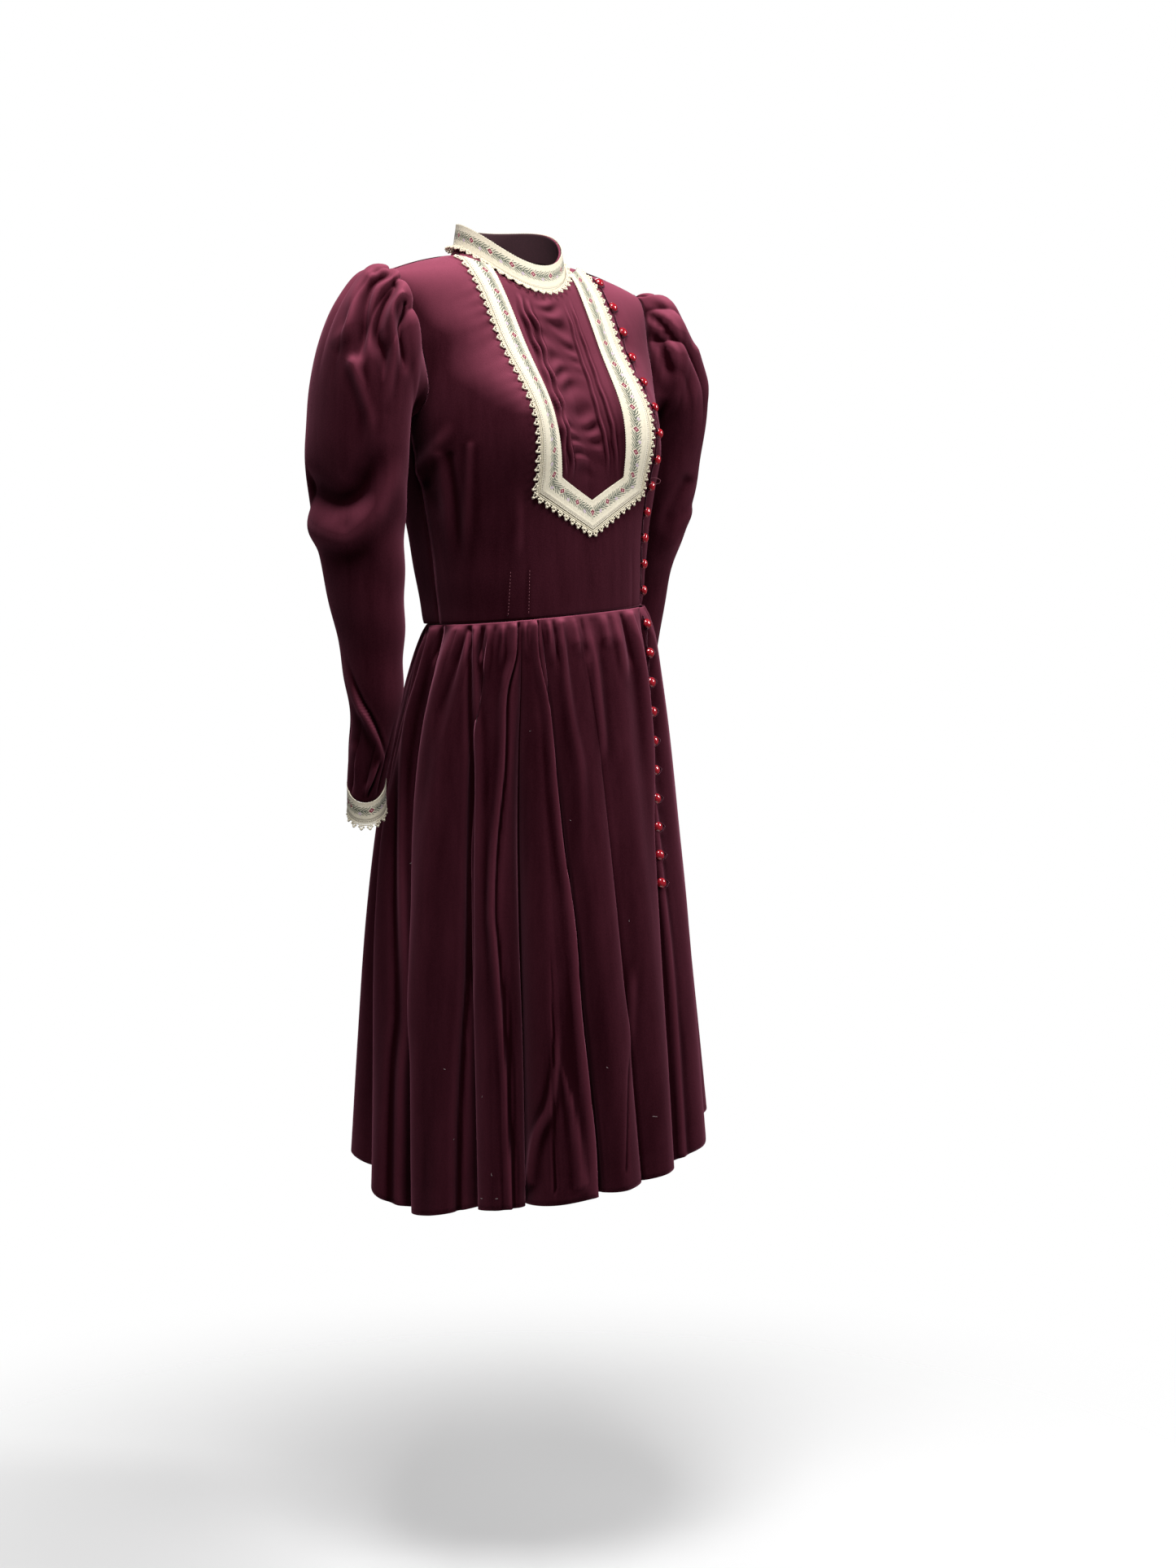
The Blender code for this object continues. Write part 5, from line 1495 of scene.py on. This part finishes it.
def make_collar():
    start = math.radians(COLLAR_END_ANGLE) - 2 * math.pi
    turn = 2 * math.pi - COLLAR_OPEN
    angle = start + np.linspace(0, 1, COLLAR_COLUMNS) * turn
    shares = np.linspace(-COLLAR_TUCK / COLLAR_HEIGHT, 1, COLLAR_ROWS)[:, None]
    points = collar_ring(angle[None, :], 0.0, shares)
    band = cloth("collar_band_cloth", points, VELVET, INSIDE, thick=COLLAR_BAND_THICK)
    declare(band, "velvet", ["collar_band"])

    angle = start + np.linspace(0, 1, COLLAR_RIBBON_COLUMNS) * turn
    along = (angle - angle[0]) * NECK_RADIUS_X
    offsets = RIBBON_ROWS[:, None]
    inner = scalloped(offsets, along[None, :])
    share = 1 + COLLAR_RIBBON_RISE - inner / COLLAR_HEIGHT
    points = collar_ring(angle[None, :], COLLAR_RIBBON_OUT + ribbon_height(offsets), share)
    ribbon("collar_ribbon", points[:, ::-1], along[::-1], RIBBON_ROWS, RIBBON_THICK)

    def locate(s, out, height):
        angle = start + s / NECK_RADIUS_X
        slope = PICOT_SLOPE + PICOT_SLOPE_CHANGE * np.cos(angle)
        way = np.stack([np.sin(angle), -np.cos(angle), -slope], -1)
        above = np.stack([np.sin(angle) * slope, -np.cos(angle) * slope, np.ones_like(angle)], -1)
        base = collar_ring(angle, COLLAR_PICOT_OUT, 0.0)
        base[..., 2] += COLLAR_PICOT_RISE * np.sin(angle) ** 2
        return base + unit(way) * out[..., None] + unit(above) * height[..., None]

    picot_edge("collar_picot_edge", locate, turn * NECK_RADIUS_X, "collar_picot")


def make_cuff(label, side):
    low = CUFF_TOP_Z - CUFF_HEIGHT
    length = 2 * math.pi * CUFF_RADIUS
    along = np.arange(CUFF_COLUMNS) / CUFF_COLUMNS * length

    def place(s, z, radius):
        angle = s / CUFF_RADIUS
        x = radius * np.cos(angle)
        y = -radius * np.sin(angle)
        oval = CUFF_OVAL * (x * CUFF_SLOPE_WAY[0] + y * CUFF_SLOPE_WAY[1])
        x = x + CUFF_CENTRE[0] + oval * CUFF_SLOPE_WAY[0]
        y = y + CUFF_CENTRE[1] + oval * CUFF_SLOPE_WAY[1]
        x, y, z = np.broadcast_arrays(x, y, z)
        return sleeve_side(np.stack([x, y, z], -1), side)

    offsets = RIBBON_ROWS[:, None] * CUFF_HEIGHT / RIBBON_WIDTH
    inner = scalloped(offsets, along[None, :])
    points = place(along[None, :], CUFF_TOP_Z - inner, CUFF_RADIUS + ribbon_height(offsets))
    order = slice(None, None, side)
    ribbon("cuff_ribbon_" + label, points[order], np.append(along, length), RIBBON_ROWS[order],
           CUFF_THICK)

    def locate(s, out, height):
        return place(s, low - SEAM_GAP - out, CUFF_RADIUS - CUFF_PICOT_IN + height)

    picot_edge("cuff_picot_%s_edge" % label, locate, length, "cuff_picot_" + label, closed=True)


def first_button():
    """A moulded glass button: a foot, a rounded rim and a low dome cut into soft facets."""
    turn = np.arange(BUTTON_SIDES) * 2 * math.pi / BUTTON_SIDES
    rings = []
    for radius, height in BUTTON_PROFILE:
        cut = FACET_DEPTH if FACETS_FROM < height < FACETS_TO else 0
        reach = radius * (1 - cut * np.abs(np.sin(turn * FACETS / 2)))
        ring = (reach * np.cos(turn), reach * np.sin(turn), np.full_like(turn, height))
        rings.append(np.stack(ring, -1))
    points = np.concatenate([np.array(rings).reshape(-1, 3), [[0, 0, 0.0]], [[0, 0, BUTTON_TOP]]])
    faces = [grid_faces(len(rings), BUTTON_SIDES, True), *end_fans(len(rings), BUTTON_SIDES)]
    return new_object("button_01_glass", points, faces, GLASS)


def sites():
    z = BODICE_BUTTON_TOP_Z - BODICE_BUTTON_PITCH * np.arange(BODICE_BUTTONS)
    x = read(CLOSURE, z, 1)
    out = body_normal(x + BUTTON_OUT, z, -1)
    seat = body_point(x + BUTTON_OUT, z, -1) - out * LAP_SINK
    edge = body_point(x, z, -1) - out * LAP_SINK
    found = list(zip(seat, edge, out))
    for i in range(SKIRT_BUTTONS):
        z = SKIRT_BUTTON_TOP_Z - SKIRT_BUTTON_PITCH * i
        at = SKIRT_EDGE * PER_FOLD
        columns = np.array([[at, at + EDGE_STEP[0] * PER_FOLD]] * 2)
        spots = skirt_points(columns, np.array([[z], [z + EDGE_STEP[1]]]))[0]
        here, beside, above = spots[0, 0], spots[0, 1], spots[1, 0]
        along = unit(beside - here)
        out = unit(np.cross(along, unit(above - here)))
        found.append((here + along * BUTTON_OUT - out * LAP_SINK, here - out * LAP_SINK, out))
    return found


def make_closure():
    first = first_button()
    centres = {"bodice": [], "skirt": []}
    for number, (seat, edge, out) in enumerate(sites(), 1):
        down = unit(np.array((0.0, 0.0, -1.0)) + out * out[2])
        left = np.cross(out, down)
        place = tilt(seat[None])[0]
        name = "button_%02d" % number
        obj = first if number == 1 else link(name + "_glass", first.data)
        turn = BUTTON_TWIST * number
        axis_x = down * math.cos(turn) + left * math.sin(turn)
        axis_y = np.cross(out, axis_x)
        matrix = np.eye(4)
        matrix[:3, 0], matrix[:3, 1], matrix[:3, 2], matrix[:3, 3] = axis_x, axis_y, out, place
        obj.matrix_world = Matrix(matrix.tolist())
        sewn(obj, "button_glass", name)

        part = "bodice" if number <= BODICE_BUTTONS else "skirt"
        side = unit(np.cross(down, out))
        if np.dot(side, seat - edge) < 0:
            side = -side
        start = edge + side * LOOP_ASIDE + out * LOOP_OUT
        centres[part] += [start - down * along + side * away for along, away in LOOP_SHAPE]
    for part, path in centres.items():
        soup = Soup()
        soup.tube(smooth_path(path, 5), CORD_RADIUS, 7)
        obj = soup.build("loops_%s_rouleau" % part, ROULEAU)
        sewn(obj, "velvet", "loops_" + part)


def make_camera():
    data = bpy.data.cameras.new("camera")
    data.sensor_fit = "AUTO"
    data.sensor_width = SENSOR
    data.lens = SENSOR * FOCAL_PX / PHOTO[1]
    data.shift_x = (PHOTO[0] / 2 - CENTRE_PX[0]) / PHOTO[1]
    data.shift_y = (CENTRE_PX[1] - PHOTO[1] / 2) / PHOTO[1]
    data.clip_start = 0.05
    obj = link("camera", data)
    turn = math.radians(AZIMUTH)
    place = Matrix.Translation((DISTANCE * math.sin(turn), -DISTANCE * math.cos(turn), EYE_Z))
    # The camera stands at its azimuth and looks towards the Z axis.
    face = Matrix.Rotation(turn, 4, "Z") @ Matrix.Rotation(math.radians(90), 4, "X")
    obj.matrix_world = place @ face @ Matrix.Rotation(math.radians(ROLL), 4, "Z")
    bpy.context.scene.camera = obj


def area_light(name, place, target, size, power):
    data = bpy.data.lights.new(name, "AREA")
    data.shape = "RECTANGLE"
    data.size, data.size_y = size
    data.energy = power
    obj = link(name, data)
    obj.location = place
    way = Vector(target) - Vector(place)
    obj.rotation_euler = way.to_track_quat("-Z", "Y").to_euler()


def floor_material():
    """A plain pale floor that fades into the white round it."""
    n = Nodes("floor_pale")
    place = n.add("ShaderNodeTexCoord").outputs["Object"]
    level = n.add("ShaderNodeVectorMath", {"operation": "MULTIPLY"}, i0=place, i1=(1, 1, 0))
    reach = n.add("ShaderNodeVectorMath", {"operation": "LENGTH"}, i0=level)
    fade = n.ramp(reach.outputs["Value"], FLOOR_SOLID, FLOOR_RADIUS, 1, 0, "SMOOTHSTEP")
    n.put(n.shader.inputs["Alpha"], fade)
    n.surface({"Base Color": (*FLOOR_COLOUR, 1), "Roughness": 0.9})
    return n.material


def make_stage():
    world = bpy.data.worlds.new("studio")
    bpy.context.scene.world = world
    world.use_nodes = True
    tree = world.node_tree
    back = tree.nodes["Background"]
    back.inputs[0].default_value = (*ROOM_COLOUR, 1)
    back.inputs[1].default_value = ROOM_LIGHT
    white = tree.nodes.new("ShaderNodeBackground")
    white.inputs[0].default_value = (1, 1, 1, 1)
    mix = tree.nodes.new("ShaderNodeMixShader")
    path = tree.nodes.new("ShaderNodeLightPath")
    tree.links.new(path.outputs["Is Camera Ray"], mix.inputs[0])
    tree.links.new(back.outputs[0], mix.inputs[1])
    tree.links.new(white.outputs[0], mix.inputs[2])
    tree.links.new(mix.outputs[0], tree.nodes["World Output"].inputs[0])
    turn = np.arange(FLOOR_SIDES) * 2 * math.pi / FLOOR_SIDES
    ring = [np.cos(turn) * FLOOR_RADIUS, np.sin(turn) * FLOOR_RADIUS, np.full(FLOOR_SIDES, FLOOR_Z)]
    corners = np.stack(ring, -1)
    floor = new_object("floor", corners, [[tuple(range(FLOOR_SIDES))]], floor_material())


VELVET = velvet("velvet", (0.0115, 0.0008, 0.0022), (0.250, 0.0560, 0.0920), 0.28, (1.0, 0.34, 0.50))
INSIDE = plain("velvet_back", (0.026, 0.006, 0.010), (0.050, 0.012, 0.020), 0.9, 1400)
RIBBON_BACK = plain("ribbon_back", (0.55, 0.50, 0.36), (0.66, 0.61, 0.46), 0.85, 900)
PICOT = plain("cotton_picot", (0.72, 0.64, 0.48), (0.85, 0.79, 0.63), 0.8, 1300)
SEWING = plain("sewing_thread", (0.16, 0.040, 0.060), (0.26, 0.075, 0.100), 0.7, 2000)
ROULEAU = velvet("rouleau", (0.026, 0.004, 0.009), (0.07, 0.012, 0.024), 0.5, (1.0, 0.55, 0.68), False)
LINT = plain("lint", (0.42, 0.33, 0.34), (0.62, 0.52, 0.52), 0.9, 1800)
GLASS = glass()
VINE = ribbon_material("vine_ribbon")

front_surface = make_front(closure_w(V))
make_left_front(closure_w(V, UNDERLAP))
make_back()
make_threads(front_surface)
make_lint(make_skirt())
make_sleeve("left", 1)
make_sleeve("right", -1)
make_bib()
make_collar()
make_cuff("left", 1)
make_cuff("right", -1)
make_closure()
make_camera()
make_stage()
area_light("over", (-0.50, -0.65, 1.30), (0.0, 0.0, -0.25), (0.8, 0.8), 39)
area_light("side", (-2.4, -1.0, 0.7), (0.0, 0.0, -0.5), (0.5, 1.5), 11)
area_light("far", (1.4, -1.3, 0.4), (0.20, 0.0, -0.3), (0.4, 1.0), 36)
area_light("back", (1.5, 2.5, 1.5), (0.0, 0.0, -0.4), (1.4, 1.4), 40)
bpy.context.scene.view_settings.view_transform = "Standard"
